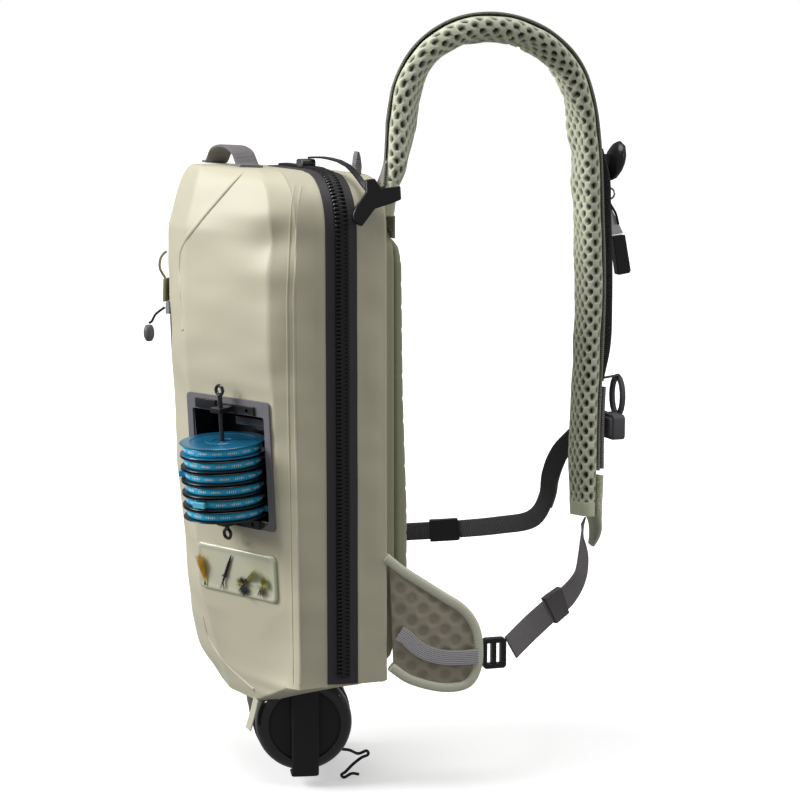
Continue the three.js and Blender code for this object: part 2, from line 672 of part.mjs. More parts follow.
// Retractor: a flat round case on the tool webbing, with a ring, a short cord and line nippers
const caseAt = toolRows[1].at.clone().add(V(-9, 13.8, 14));
const caseLean = V(0, 0.3, 1).normalize();
const caseBody = stand(new THREE.SphereGeometry(1, 12, 8).scale(14, 7.4, 18), caseAt, V(1, 0, 0), caseLean);
const caseClip = box(9, 3.2, 10, caseAt.clone().add(V(0, -8, 1)));
piece('retractor_case', join(caseBody, caseClip), looks.blackPlastic);
const caseFoot = caseAt.clone().addScaledVector(caseLean, -18 - clearance);
const linkLow = caseFoot.clone().add(V(0, 0.5, -6.5));
const ringRadius = 4.8;
const ringWire = 1;
const ringAt = linkLow.clone().add(V(0, 0, 0.6 - ringRadius));
const ringBody = stand(new THREE.TorusGeometry(ringRadius, ringWire, 6, 12).rotateX(Math.PI / 2), ringAt,
  V(0.75, 0.66, 0), V(0, 0, 1));
const link = cord([caseFoot, linkLow.clone().lerp(caseFoot, 0.5), linkLow], 1.3, 6, 2);
piece('retractor_ring', join(ringBody, link), looks.metal);

const nipperTop = ringAt.clone().add(V(0, 1, -ringRadius - 10));
function sideways(rows, thickness, at) {
  const shape = new THREE.Shape();
  rows.forEach(([y, z], i) => shape[i ? 'lineTo' : 'moveTo'](y, z));
  return stand(plate(shape, -thickness / 2, thickness / 2), at, V(0, 1, 0), V(0, 0, 1));
}
const blades = [[-3, 0], [0, 3], [12.5, -20], [1, -21.5]];
piece('nipper_blades', sideways(blades, 4, nipperTop), looks.metal);
const grip = [[0, -0.4], [12, 0.8], [18.2, -31], [17, -33], [6.5, -34.5], [5.5, -33.5]];
piece('nipper_grip', sideways(grip, 8, nipperTop.clone().add(V(0, 1.2, -22))), looks.greyPlastic);
piece('nipper_cord', cord([
  ringAt.clone().add(V(0, 0, -ringRadius - ringWire - 1.4)),
  ringAt.clone().add(V(2.6, 0.8, -ringRadius - 6)),
  nipperTop.clone().add(V(4.2, 3, -2)),
  nipperTop.clone().add(V(4.2, 6, -12)),
], 1.1, 8, 5), looks.blackCord);

// Waist webbing: from the back board round the far side of the waist to the buckle's plug
const plugEnd = plugAt.clone().add(V(-plugLength / 2 - clearance - webbingThickness / 2, 0.6, 0));
const waistRows = [
  { across: -0.9, out: 0.0545, up: 0.2, face: V(0, -1, 0) },
  { across: -0.955, out: 0.068, up: 0.2, face: V(-0.3, -1, 0) },
  { across: -1.02, out: 0.115, up: 0.2, face: V(-0.8, -0.6, 0) },
  { across: -1.1, out: 0.24, up: 0.199, face: V(-1, 0.35, 0) },
  { across: -1.165, out: 0.42, up: 0.199, face: V(-1, 0, 0) },
  { across: -1.14, out: 0.6, up: 0.2, face: V(-1, 0.35, 0) },
  { across: -1.0, out: 0.785, up: 0.206, face: V(-1, 1, 0) },
  { across: -0.68, out: 0.93, up: 0.227, face: V(-0.35, 1, 0.1) },
  { across: -0.32, out: 0.995, up: 0.258, face: V(0, 1, 0.3) },
  { across: -0.04, out: 0.98, up: 0.316, face: V(-0.3, 1, 0.3) },
  { across: 0.08, out: 0.965, up: 0.37, face: V(-0.7, 1, 0.2) },
  { across: 0.17, out: 0.985, up: 0.42, face: V(-1, 0.7, 0.2) },
].map((row) => ({ at: onWearer(row), face: row.face }));
waistRows.push({ at: plugEnd.clone().add(V(-3, -6, -8)), face: V(-1, 0.3, 0.3) });
waistRows.push({ at: plugEnd, face: V(-1, 0.15, 0.1) });
piece('waist_webbing', sweep(waistRows, 36, waistWebbingWidth, webbingThickness), looks.darkWebbing);

piece('waist_webbing_end', sweep(beside(waistRows, 8.8, 12.6, 2.5, 8), 12, waistWebbingWidth, webbingThickness),
  looks.greyWebbing);

// A sleeve round a webbing: its rows, between two places along it, less the webbing with clearance
function aroundWebbing(rows, from, to, width, wall) {
  const some = beside(rows, from, to, 0, 4);
  const hollow = some.map((row) => ({ ...row, at: row.at.clone() }));
  const reach = (row, other, by) => row.at.addScaledVector(row.at.clone().sub(other.at).normalize(), by);
  reach(hollow[0], some[1], 3);
  reach(hollow[3], some[2], 3);
  const outer = sweep(some, 3, width + 2 * wall + 1.6, webbingThickness + 2 * wall + 1.6);
  return cut(outer, sweep(hollow, 3, width + 1.6, webbingThickness + 1.6));
}
piece('waist_slider', aroundWebbing(waistRows, 5.5, 6.12, waistWebbingWidth, 1.3), looks.blackPlastic);

// Lower webbing: from under the strap's end down and back to the ladder lock at the tip of the wing
const strapEnd = strap.at(-1).at;
const wingRoot = V(bagWidth / 2 - 2.5, 1.1, 0);
const wingWay = V(0.132, 0.991, 0).normalize();
const wingTip = wingRoot.clone().addScaledVector(wingWay, wingLength).setZ(0.103 * bagHeight);
const lockAt = wingTip.clone().add(V(-1, 10.7, -3.5));
const lowerRows = [
  { at: strapEnd.clone().add(V(4, -0.6, -4.3)), face: V(0.3, 1, 0) },
  { at: onWearer({ across: 0.75, out: 0.922, up: 0.283 }), face: V(0.6, 1, 0) },
  { at: onWearer({ across: 0.79, out: 0.915, up: 0.243 }), face: V(1, 0.75, -0.1) },
  { at: onWearer({ across: 0.835, out: 0.887, up: 0.208 }), face: V(1, 0.5, -0.2) },
  { at: onWearer({ across: 0.88, out: 0.82, up: 0.178 }), face: V(1, 0.2, -0.1) },
  { at: onWearer({ across: 0.93, out: 0.73, up: 0.158 }), face: V(1, 0, 0) },
  { at: onWearer({ across: 0.97, out: 0.625, up: 0.128 }), face: V(1, -0.1, 0) },
  { at: lockAt.clone().add(V(-0.5, 15.8, 2.7)), face: V(1, -0.1, 0) },
];
piece('lower_webbing', sweep(lowerRows, 24, lowerWebbingWidth, webbingThickness), looks.greyWebbing);
piece('webbing_keeper', aroundWebbing(lowerRows, 4.3, 5.1, lowerWebbingWidth, 1.2), looks.frameGrey);
const lockBody = cut(
  plate(roundedRectangle(20, 26, 3), -3.5, 3.5),
  box(4.2, 12, 18, V(-4.6, 0, 0)),
  box(4.2, 12, 18, V(3.4, 0, 0)),
);
piece('ladder_lock', stand(lockBody, lockAt, wingWay, V(0, 0, 1)), looks.blackPlastic);

// Hip wing: a padded half-oval, bound round its edge.
// along: share of the wing's length. high: share of its height above its lowest point
const wingLow = 0.028 * bagHeight;
const wingEdge = [
  { along: 0, high: 0.175 }, { along: 0.17, high: 0.09 }, { along: 0.39, high: 0.03 },
  { along: 0.6, high: 0 }, { along: 0.78, high: 0.005 }, { along: 0.88, high: 0.035 },
  { along: 0.95, high: 0.095 }, { along: 0.99, high: 0.18 }, { along: 1, high: 0.27 },
  { along: 0.988, high: 0.37 }, { along: 0.95, high: 0.46 }, { along: 0.88, high: 0.54 },
  { along: 0.78, high: 0.61 }, { along: 0.6, high: 0.69 }, { along: 0.39, high: 0.785 },
  { along: 0.17, high: 0.885 }, { along: 0, high: 0.98 },
].map((row) => [row.along * wingLength, wingLow + row.high * wingHeight]);
const wingOutline = new wasm.CrossSection([wingEdge]);
const onWing = (geometry) => stand(geometry, wingRoot, wingWay, V(0, 0, 1));
function wingLayer(outline, thickness) {
  const slab = fromSolid(outline.extrude(thickness, 0, 0, [1, 1], true));
  return onWing(slab.rotateX(Math.PI / 2));
}
const padOutline = (by) => wingOutline.offset(-by, 'Miter');
piece('wing_binding', wingLayer(wingOutline.subtract(padOutline(bindingWidth)), wingThickness), looks.binding);
piece('wing_pad', wingLayer(padOutline(bindingWidth + clearance), wingThickness - 3), looks.wingMesh);
const elastic = [
  { along: 0.17, high: 0.41 }, { along: 0.24, high: 0.36 }, { along: 0.36, high: 0.3 },
  { along: 0.55, high: 0.255 }, { along: 0.75, high: 0.242 }, { along: 0.885, high: 0.243 },
].map((row) => ({
  at: V(row.along * wingLength, -wingThickness / 2 + 1.5 - clearance - 0.6, wingLow + row.high * wingHeight),
  face: V(0, -1, 0),
}));
piece('wing_elastic', onWing(sweep(elastic, 12, elasticWidth, 1.2)), looks.frameGrey);

// Spool holder, in the frame of the front zone: a stiff frame with two rod brackets and a clip on its face
const face = -clearance - frameThickness;
const rodX = 2;
const firstSpool = 15;
const bracketHeight = 7.4;
const rodHole = turned([[0, -frameHeight], [rodRadius + clearance, -frameHeight],
  [rodRadius + clearance, frameHeight], [0, frameHeight]], 12).translate(rodX, -rodStandOff, 0);
const brackets = [0.42 * frameHeight, -0.463 * frameHeight].flatMap((z) => [
  box(40, 2.5, bracketHeight, V(13, face - 0.75, z)),
  box(12, rodStandOff + 5.4, 4, V(rodX, -(rodStandOff + 5.4) / 2 - 0.8, z)),
]);
const eyelets = [0.42 * frameHeight, -0.463 * frameHeight].map((z) => (
  stand(turned([[0, -5], [1.8, -5], [1.8, 5], [0, 5]], 8), V(25, face, z), V(1, 0, 0), V(0, 1, 0))));
const frameClip = box(24, 3.1, 8, V(-24, face - 1.05, 0.43 * frameHeight));
const spoolFrame = plate(withHole(
  roundedRectangle(frameWidth, frameHeight, 4), roundedRectangle(windowWidth, windowHeight, 2, 0, windowLow),
), face, -clearance);
piece('spool_frame', cut(join(spoolFrame, frameClip, ...brackets), rodHole, ...eyelets), looks.frameGrey, front);

const trayBlock = box(windowWidth / 2 - 5, 11, 7, V(windowWidth / 4 + 3.2, 7, 35));
const trayBody = cut(
  box(trayWidth, trayDepth + trayWall, trayHeight, V(0, (trayDepth + trayWall) / 2, windowLow)),
  box(windowWidth, 2 * trayDepth, windowHeight, V(0, 0, windowLow)),
);
piece('spool_tray', join(trayBody, trayBlock), looks.blackPlastic, front);

const eyeRadius = 4;
const eyeWire = 1.5;
const rodTop = frameHeight / 2 + 4;
const rodBottom = -frameHeight / 2 - 2;
const eye = (z) => new THREE.TorusGeometry(eyeRadius, eyeWire, 6, 12)
  .rotateX(Math.PI / 2).translate(rodX, -rodStandOff, z);
const rodBar = turned([[0, rodBottom], [rodRadius, rodBottom], [rodRadius, rodTop], [0, rodTop]], 12)
  .translate(rodX, -rodStandOff, 0);
piece('spool_rod', join(rodBar, eye(rodTop + eyeRadius - 0.4), eye(rodBottom - eyeRadius + 0.4)),
  looks.blackPlastic, front);

// Spools: a grooved disc, and a band in its groove with a short tab. turn: where its tab points
const tabTurns = [100, 60, 220, 140, 280, 40];
const half = spoolThickness / 2;
const flangeEdge = 1.1;
const spoolBody = turned([
  [rodRadius + clearance, -half], [spoolRadius, -half], [spoolRadius, -half + flangeEdge],
  [grooveRadius, -half + flangeEdge + 0.5], [grooveRadius, half - flangeEdge - 0.5],
  [spoolRadius, half - flangeEdge], [spoolRadius, half], [rodRadius + clearance, half],
  [rodRadius + clearance, -half],
], 18);
const bandInner = grooveRadius + clearance;
const bandOuter = bandInner + bandThickness;
const bandHalf = half - flangeEdge - 0.5 - clearance;
const bandRing = turned([
  [bandInner, -bandHalf], [bandOuter, -bandHalf], [bandOuter, bandHalf], [bandInner, bandHalf],
  [bandInner, -bandHalf],
], 18);
const tab = box(bandThickness + tabReach, 11, 2 * bandHalf - 0.6, V(bandOuter - 1 + tabReach / 2, 0, 0));
const band = join(bandRing, tab);
for (let i = 0; i < spoolCount; i += 1) {
  const height = firstSpool - i * spoolPitch;
  const spool = piece(`spool_${i + 1}`, spoolBody, looks.blackPlastic, front);
  spool.position.set(rodX, -rodStandOff, height);
  const ring = piece(`band_${i + 1}`, band, looks.bandBlue, front);
  ring.position.copy(spool.position);
  ring.rotation.z = degrees(tabTurns[i % tabTurns.length]);
}

// Fly patch with its flies: a slender spindle for each, lying on the patch
const patchZ = -flyPatchBelow;
const patchFace = -clearance - flyPatchThickness;
// Shares of the patch's width and height, from its middle
const flies = [
  { head: [-0.415, -0.44], tail: [-0.44, 0.2], girth: 3.4 },
  { head: [-0.035, 0.32], tail: [-0.16, -0.34], girth: 2.6 },
  { head: [0.06, -0.36], tail: [0.3, 0.16], girth: 3.4 },
  { head: [0.28, -0.38], tail: [0.4, -0.04], girth: 2.8 },
].map((fly) => {
  const at = ([x, z]) => V(x * flyPatchWidth, patchFace - 0.7 * fly.girth, patchZ + z * flyPatchHeight);
  const [head, tail] = [at(fly.head), at(fly.tail)];
  const long = head.distanceTo(tail);
  const spindle = turned([[0, 0], [0.7 * fly.girth, 0.08 * long], [fly.girth, 0.25 * long],
    [0.5 * fly.girth, 0.7 * long], [0, long]], 8);
  return stand(spindle, head, V(0, 1, 0), tail.clone().sub(head));
});
const patch = plate(roundedRectangle(flyPatchWidth, flyPatchHeight, 5, 0, patchZ), patchFace, -clearance);
piece('fly_patch', join(patch, ...flies), looks.clearFilm, front);

// Side pocket: its zip runs down beyond the front's far fold. up: share of the bag's height
function onPocketSide(up, off, aside) {
  const [low, high] = [levels[4], levels[5]];
  const part = Math.min((up - low.up) / (high.up - low.up), 1);
  const level = { crown: mix(low.crown, high.crown, part), bevel: mix(low.bevel, high.bevel, part) };
  const place = (fold) => V((fold.across * bagWidth) / 2, foldDepth(fold, level), up * bagHeight);
  const fold = place(folds[4]);
  const way = place(folds[5]).sub(fold).normalize();
  const out = V(way.y, -way.x, 0);
  if (out.y > 0) out.negate();
  return { at: fold.addScaledVector(way, aside).addScaledVector(out, off), face: out };
}
const pocketZip = [0.87, 0.8, 0.7, 0.62, 0.54].map((up) => onPocketSide(up, 1.2, 17));
piece('pocket_zip', sweep(pocketZip, 8, 9, 1.2), looks.tape);
const flap = [0.78, 0.76, 0.736].map((up, i) => onPocketSide(up, 3.2 + i * 0.4, 13));
const loopSpots = [[0.832, 2.4, 8], [0.822, 7, 7], [0.8, 8.5, 7], [0.785, 5.6, 9], [0.775, 3.4, 10]];
const pocketLoop = cord(loopSpots.map(([up, off, aside]) => onPocketSide(up, off, aside).at), 1.2, 6, 8);
piece('pocket_flap', join(sweep(flap, 3, 20, 1.8), pocketLoop), looks.fabric);
const sliderSpot = onPocketSide(0.722, 4.4, 17);
piece('pocket_slider', stand(box(7, 4, 11), sliderSpot.at, V().crossVectors(sliderSpot.face, V(0, 0, 1)),
  V(0, 0, 1)), looks.metal);
const toggleAt = onPocketSide(0.674, 20, 9).at;
const pocketCordStart = sliderSpot.at.clone().addScaledVector(sliderSpot.face, 3.6);
piece('pocket_cord', cord([
  pocketCordStart,
  pocketCordStart.clone().lerp(toggleAt, 0.35).add(V(0, -3.4, 1.5)),
  pocketCordStart.clone().lerp(toggleAt, 0.7).add(V(0, -2, 3)),
  toggleAt.clone().add(V(0, 0, 8.4)),
], 1.1, 8, 5), looks.blackCord);
piece('pocket_toggle', turned([[0, -7.4], [2.6, -7.4], [4.6, -3.5], [4.6, 2], [3, 6.6], [0, 6.6]], 12)
  .translate(...toggleAt.toArray()), looks.greyPlastic);

// Bottle: a flat-based drum that lies under the bag in a stretch sleeve, with a capped end and a handle band
const bottleBack = sleeveBack + sleeveWall + clearance;
const bottleFront = -capHeight - 2 - clearance;
piece('bottle', turned([[0, bottleBack], [bottleRadius, bottleBack], [bottleRadius, bottleFront],
  [0, bottleFront]], 24), looks.bottleBlack, bottle);
const capRadius = bottleRadius + 1;
const cap = turned([[0, -capHeight - 2], [capRadius - 0.5, -capHeight - 2], [capRadius, -capHeight],
  [capRadius, -6], [capRadius - 4, 0], [capRadius - 5, -1.2], [0, -1.2]], 24);
const capBand = [
  { at: V(0, capRadius - 3, 1), face: V(0, 0.2, 1) },
  { at: V(0, capRadius - 8, 2.2), face: V(0, 0, 1) },
  { at: V(0, 0, 2.2), face: V(0, 0, 1) },
  { at: V(0, 6 - capRadius, 2.2), face: V(0, 0, 1) },
  { at: V(0, -1.4 - capRadius, 0.6), face: V(0, -0.8, 1) },
  { at: V(0, -2.9 - capRadius, -6), face: V(0, -1, 0.1) },
  { at: V(0, -2.9 - capRadius, -16), face: V(0, -1, 0) },
];
piece('bottle_cap', join(cap, sweep(capBand, 12, capBandWidth, 4)), looks.blackPlastic, bottle);
const sleeveMouth = bottleFront - 1;
const sleeveBody = turned([[0, sleeveBack], [sleeveRadius, sleeveBack], [sleeveRadius, sleeveMouth],
  [bottleRadius + clearance, sleeveMouth], [bottleRadius + clearance, sleeveBack + sleeveWall],
  [0, sleeveBack + sleeveWall]], 24);
piece('bottle_sleeve', sleeveBody, looks.bottleBlack, bottle);

// Draw cord of the sleeve: hangs beside it in a loop. Shares of the sleeve's radius, from the bottle's axis
const drawCord = [
  [0.83, -0.625], [1.0, -0.665], [1.19, -0.76], [1.38, -0.725], [1.41, -0.8], [1.26, -0.855], [1.07, -0.975],
  [0.9, -1.12], [0.82, -1.165], [0.87, -1.225], [1.05, -1.165], [1.2, -1.2],
].map(([y, z]) => capPlace.clone().add(V(-5, y * sleeveRadius, z * sleeveRadius)));
piece('draw_cord', cord(drawCord, 1.3, 8, 18), looks.blackCord);
const sideTape = [[-0.905, 0.56], [-1.0, 0.2], [-1.08, -0.05]].map(([y, z]) => ({
  at: capPlace.clone().add(V(-15, y * sleeveRadius, z * sleeveRadius)),
  face: V(0, -1, 0.2),
}));
piece('side_tape', sweep(sideTape, 3, 12, 1.2), looks.fabric);

const rest = strap[7];
const restPoint = rest.at.clone().addScaledVector(rest.face, -(rest.thick * strapThickness) / 2 - 0.5);

const part = new THREE.Group();
bag.position.copy(restPoint).negate();
part.add(bag);

export default part;
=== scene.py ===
import math

import bmesh
import bpy
import numpy as np
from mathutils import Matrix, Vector, noise
from mathutils.bvhtree import BVHTree


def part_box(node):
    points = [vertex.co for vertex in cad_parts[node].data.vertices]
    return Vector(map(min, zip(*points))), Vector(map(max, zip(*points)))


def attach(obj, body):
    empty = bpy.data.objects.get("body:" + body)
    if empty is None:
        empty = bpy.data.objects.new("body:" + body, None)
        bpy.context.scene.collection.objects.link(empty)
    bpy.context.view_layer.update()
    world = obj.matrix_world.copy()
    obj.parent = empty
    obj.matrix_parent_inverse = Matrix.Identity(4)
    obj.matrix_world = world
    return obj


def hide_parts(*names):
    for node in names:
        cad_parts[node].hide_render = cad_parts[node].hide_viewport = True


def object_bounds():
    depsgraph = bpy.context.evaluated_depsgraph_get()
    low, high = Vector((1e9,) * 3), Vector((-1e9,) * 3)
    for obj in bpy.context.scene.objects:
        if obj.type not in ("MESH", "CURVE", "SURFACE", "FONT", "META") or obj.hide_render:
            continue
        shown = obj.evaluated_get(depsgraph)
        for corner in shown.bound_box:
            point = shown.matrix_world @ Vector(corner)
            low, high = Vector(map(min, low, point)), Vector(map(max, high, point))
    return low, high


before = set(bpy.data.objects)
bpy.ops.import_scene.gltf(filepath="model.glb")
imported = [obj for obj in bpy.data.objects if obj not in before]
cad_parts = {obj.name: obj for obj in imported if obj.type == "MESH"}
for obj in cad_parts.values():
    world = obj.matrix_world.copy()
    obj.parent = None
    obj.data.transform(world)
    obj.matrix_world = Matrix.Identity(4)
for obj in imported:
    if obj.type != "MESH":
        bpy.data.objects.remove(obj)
cad_low, cad_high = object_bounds()

# The bag's own frame: the sizes below are in millimetres from under the middle of the bag's rear face.
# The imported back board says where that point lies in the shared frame, which is in metres.
clearance = 0.3
board_bottom = 34.0
board_low, board_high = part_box("back_board")
bag_origin = np.array([
    (board_low.x + board_high.x) / 2,
    board_low.y - clearance / 1000,
    board_low.z - board_bottom / 1000,
])


def place(points):
    """Bag-frame millimetres to the row frame in metres."""
    return np.asarray(points, float) / 1000 + bag_origin


# Camera: stands where the photographer's did, a little above the middle of the bag, and sees its zip side.
# The focal length is in pixels of a picture 800 wide, and nothing is shifted to frame the bag.
azimuth, elevation = math.radians(68), math.radians(8.6)
focal_pixels = 2200.0
picture = 800
camera_data = bpy.data.cameras.new("camera")
camera_data.sensor_width = 36.0
camera_data.lens = camera_data.sensor_width * focal_pixels / picture
camera = bpy.data.objects.new("camera", camera_data)
bpy.context.scene.collection.objects.link(camera)
sight = Vector((-math.sin(azimuth) * math.cos(elevation), math.cos(azimuth) * math.cos(elevation),
                -math.sin(elevation)))
level = Vector((math.cos(azimuth), math.sin(azimuth), 0.0))
upright = level.cross(sight)
camera.location = place([1774.6, -655.9, 531.1])
camera.rotation_euler = sight.to_track_quat("-Z", "Y").to_euler()
bpy.context.scene.camera = camera


# Draw cord of the bottle's sleeve: a limp braided nylon cord, 2.6 mm thick, which closes the sleeve's mouth.
# It leaves the hem beside the bottle's cap, hangs in a kinked loop and ends in a melted tip.
bag_width, bag_height, bag_depth = 250.0, 450.0, 140.0
cap_place = np.array([0.3 * bag_width, -0.4 * bag_depth, -20.0])
sleeve_radius = 42.1
cord_radius = 1.3
draw_rows = [
    (0.83, -0.625), (1.0, -0.665), (1.19, -0.76), (1.38, -0.725), (1.41, -0.8), (1.26, -0.855), (1.07, -0.975),
    (0.9, -1.12), (0.82, -1.165), (0.87, -1.225), (1.05, -1.165), (1.2, -1.2),
]
draw_route = [cap_place + [-5, y * sleeve_radius, z * sleeve_radius] for y, z in draw_rows]


def linear(colour):
    """A colour from 0 to 255 as the shader's linear values."""
    return [((c / 255 + 0.055) / 1.055) ** 2.4 if c > 10 else c / 255 / 12.92 for c in colour]


def look(name, colour, rough=0.6, metal=0.0, uneven=0.06, patch=18.0, grain=1500.0, relief=0.25, sheen=0.0,
         coat=0.0):
    """A finish with cloudy colour and wear and a fine grain, both in object coordinates."""
    made = bpy.data.materials.new(name)
    made.use_nodes = True
    nodes, links = made.node_tree.nodes, made.node_tree.links
    shader = nodes["Principled BSDF"]
    shader.inputs["Metallic"].default_value = metal
    shader.inputs["Sheen Weight"].default_value = sheen
    shader.inputs["Coat Weight"].default_value = coat
    where = nodes.new("ShaderNodeTexCoord")
    clouds = nodes.new("ShaderNodeTexNoise")
    clouds.inputs["Scale"].default_value = patch
    clouds.inputs["Detail"].default_value = 4.0
    links.new(where.outputs["Object"], clouds.inputs["Vector"])
    tint = nodes.new("ShaderNodeMix")
    tint.data_type = "RGBA"
    tint.name = "tint"
    base = linear(colour)
    tint.inputs["A"].default_value = [c * (1 - uneven) for c in base] + [1]
    tint.inputs["B"].default_value = [min(c * (1 + uneven), 1) for c in base] + [1]
    links.new(clouds.outputs["Fac"], tint.inputs["Factor"])
    links.new(tint.outputs["Result"], shader.inputs["Base Color"])
    worn = nodes.new("ShaderNodeMapRange")
    worn.inputs["To Min"].default_value = max(rough - 0.07, 0.02)
    worn.inputs["To Max"].default_value = min(rough + 0.07, 1.0)
    links.new(clouds.outputs["Fac"], worn.inputs["Value"])
    links.new(worn.outputs["Result"], shader.inputs["Roughness"])
    fine = nodes.new("ShaderNodeTexNoise")
    fine.name = "fine"
    fine.inputs["Scale"].default_value = grain
    links.new(where.outputs["Object"], fine.inputs["Vector"])
    bump = nodes.new("ShaderNodeBump")
    bump.name = "bump"
    bump.inputs["Strength"].default_value = relief
    bump.inputs["Distance"].default_value = 0.0004
    links.new(fine.outputs["Fac"], bump.inputs["Height"])
    links.new(bump.outputs["Normal"], shader.inputs["Normal"])
    return made


def ribbed(made, mark, pitch, depth=0.0004, strength=0.7):
    """Adds ribs across a measured mark (millimetres) to a material's relief."""
    nodes, links = made.node_tree.nodes, made.node_tree.links
    read = nodes.new("ShaderNodeAttribute")
    read.attribute_name = mark
    turn = nodes.new("ShaderNodeMath")
    turn.operation = "MULTIPLY"
    turn.inputs[1].default_value = 2 * math.pi / pitch
    wave = nodes.new("ShaderNodeMath")
    wave.operation = "SINE"
    ridge = nodes.new("ShaderNodeBump")
    ridge.inputs["Strength"].default_value = strength
    ridge.inputs["Distance"].default_value = depth
    links.new(read.outputs["Fac"], turn.inputs[0])
    links.new(turn.outputs[0], wave.inputs[0])
    links.new(wave.outputs[0], ridge.inputs["Height"])
    links.new(nodes["bump"].outputs["Normal"], ridge.inputs["Normal"])
    links.new(ridge.outputs["Normal"], nodes["Principled BSDF"].inputs["Normal"])
    return made


def route(points, spots):
    """A centripetal Catmull-Rom curve through points, at places counted in points."""
    p = np.asarray(points, float)
    spots = np.asarray(spots, float)
    ends = np.vstack([2 * p[0] - p[1], p, 2 * p[-1] - p[-2]])
    low = np.minimum(spots.astype(int), len(p) - 2)
    w = (spots - low)[:, None]
    a, b, c, d = (ends[low + k] for k in range(4))

    def gap(q, r):
        return np.maximum(np.sum((r - q) ** 2, axis=1) ** 0.25, 1e-4)[:, None]

    h0, h1, h2 = gap(a, b), gap(b, c), gap(c, d)
    t1 = ((b - a) / h0 - (c - a) / (h0 + h1) + (c - b) / h1) * h1
    t2 = ((c - b) / h1 - (d - b) / (h1 + h2) + (d - c) / h2) * h1
    return b + t1 * w + (3 * (c - b) - 2 * t1 - t2) * w ** 2 + (2 * (b - c) + t1 + t2) * w ** 3


def evenly(points, pitch, count=None):
    """Places along the curve through points, about pitch apart, and their distances."""
    fine = np.linspace(0, len(points) - 1, 60 * len(points))
    line = route(points, fine)
    run = np.concatenate([[0], np.cumsum(np.linalg.norm(np.diff(line, axis=0), axis=1))])
    steps = count or max(int(round(run[-1] / pitch)), 2)
    along = np.linspace(0, run[-1], steps + 1)
    return np.interp(along, run, fine), along


def tube(name, points, radius, material, nodes):
    """A round cord as a curve with one open spline, and its centreline in metres."""
    spots, along = evenly(points, 1.2)
    line = place(route(points, spots))
    curve = bpy.data.curves.new(name, "CURVE")
    curve.dimensions = "3D"
    curve.bevel_depth = radius / 1000
    curve.bevel_resolution = 3
    curve.use_fill_caps = True
    spline = curve.splines.new("POLY")
    spline.points.add(len(line) - 1)
    spline.points.foreach_set("co", np.c_[line, np.ones(len(line))].ravel())
    spline.use_smooth = True
    curve.materials.append(material)
    made = bpy.data.objects.new(name, curve)
    bpy.context.scene.collection.objects.link(made)
    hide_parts(*nodes)
    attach(made, "bag")
    return made, line


cord_cloth = ribbed(look("cord_cloth", (34, 34, 37), 0.7, grain=1600.0, relief=0.5), "along", 2.2)
draw_cord, draw_line = tube("sleeve_draw_cord", draw_route, cord_radius, cord_cloth, ["draw_cord"])

# Bag body: waterproof coated nylon, cut in flat panels and welded into a soft hollow box with folded edges.
# It is lofted through the CAD's levels (up, lift, bevel, crown) and folds (across, the fold's name, share of its
# stand-out, corner radius), then dented and waved as a filled bag is.
top_corner, corner_slope, corner_lift, rear_lift, top_fall = 50.0, 57.0, 23.0, 11.0, 6.0
levels = np.array([
    (0, 1, 0.655, 0.72), (0.024, 0.64, 0.645, 0.755), (0.051, 0.27, 0.6, 0.8), (0.11, 0, 0.585, 0.86),
    (0.2, 0, 0.588, 0.902), (0.66, 0, 0.686, 1), (0.78, 0, 0.69, 1), (0.885, 0, 0.688, 0.98),
    (0.918, 0.04, 0.685, 0.955), (0.944, 0.12, 0.68, 0.93), (0.966, 0.3, 0.672, 0.91), (0.982, 0.55, 0.664, 0.896),
    (0.993, 0.8, 0.655, 0.885), (1, 1, 0.64, 0.872),
])
seam_depth = 0.55
folds = [
    (1, "rear", 0, 3), (0.968, "seam", 1, 8), (0.86, "bevel", 1, 10), (0.128, "crown", 1, 14),
    (-0.384, "crown", 0.97, 16), (-0.86, "bevel", 0.98, 14), (-0.968, "seam", 1, 10), (-1, "rear", 0, 3),
]
columns_between = [18, 8, 34, 24, 22, 8, 18, 26]
corner_steps = 8


def make(name, points, faces, material, nodes=(), body="bag", marks=None, crease=38):
    """A piece from points in the bag's frame, its faces turned outward, with measured marks for its shader."""
    points = np.asarray(points, float).reshape(-1, 3)
    volume = 0.0
    for face in faces:
        a = points[face[0]]
        for j, k in zip(face[1:-1], face[2:]):
            b, c = points[j], points[k]
            volume += (a[0] * (b[1] * c[2] - b[2] * c[1]) + a[1] * (b[2] * c[0] - b[0] * c[2])
                       + a[2] * (b[0] * c[1] - b[1] * c[0]))
    if volume < 0:
        faces = [face[::-1] for face in faces]
    mesh = bpy.data.meshes.new(name)
    mesh.from_pydata(place(points).tolist(), [], [list(map(int, face)) for face in faces])
    for key, values in (marks or {}).items():
        made = mesh.attributes.new(key, "FLOAT", "POINT")
        made.data.foreach_set("value", np.asarray(values, np.float32).ravel())
    mesh.polygons.foreach_set("use_smooth", [True] * len(mesh.polygons))
    mesh.set_sharp_from_angle(angle=math.radians(crease))
    mesh.materials.append(material)
    obj = bpy.data.objects.new(name, mesh)
    bpy.context.scene.collection.objects.link(obj)
    if nodes:
        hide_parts(*nodes)
    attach(obj, body)
    return obj


def lattice(rows, columns, closed=True, capped=True):
    """Faces of a grid of points, row by row, closed round each row and capped at both ends."""
    i, j = np.meshgrid(np.arange(rows - 1), np.arange(columns if closed else columns - 1), indexing="ij")
    k = (j + 1) % columns
    quads = np.stack([i * columns + j, i * columns + k, (i + 1) * columns + k, (i + 1) * columns + j], -1)
    faces = quads.reshape(-1, 4).tolist()
    if closed and capped:
        faces.append(list(range(columns))[::-1])
        faces.append(list(range((rows - 1) * columns, rows * columns)))
    return faces


def unit(vectors):
    """Vectors brought to a length of one."""
    return vectors / np.maximum(np.linalg.norm(vectors, axis=-1, keepdims=True), 1e-9)


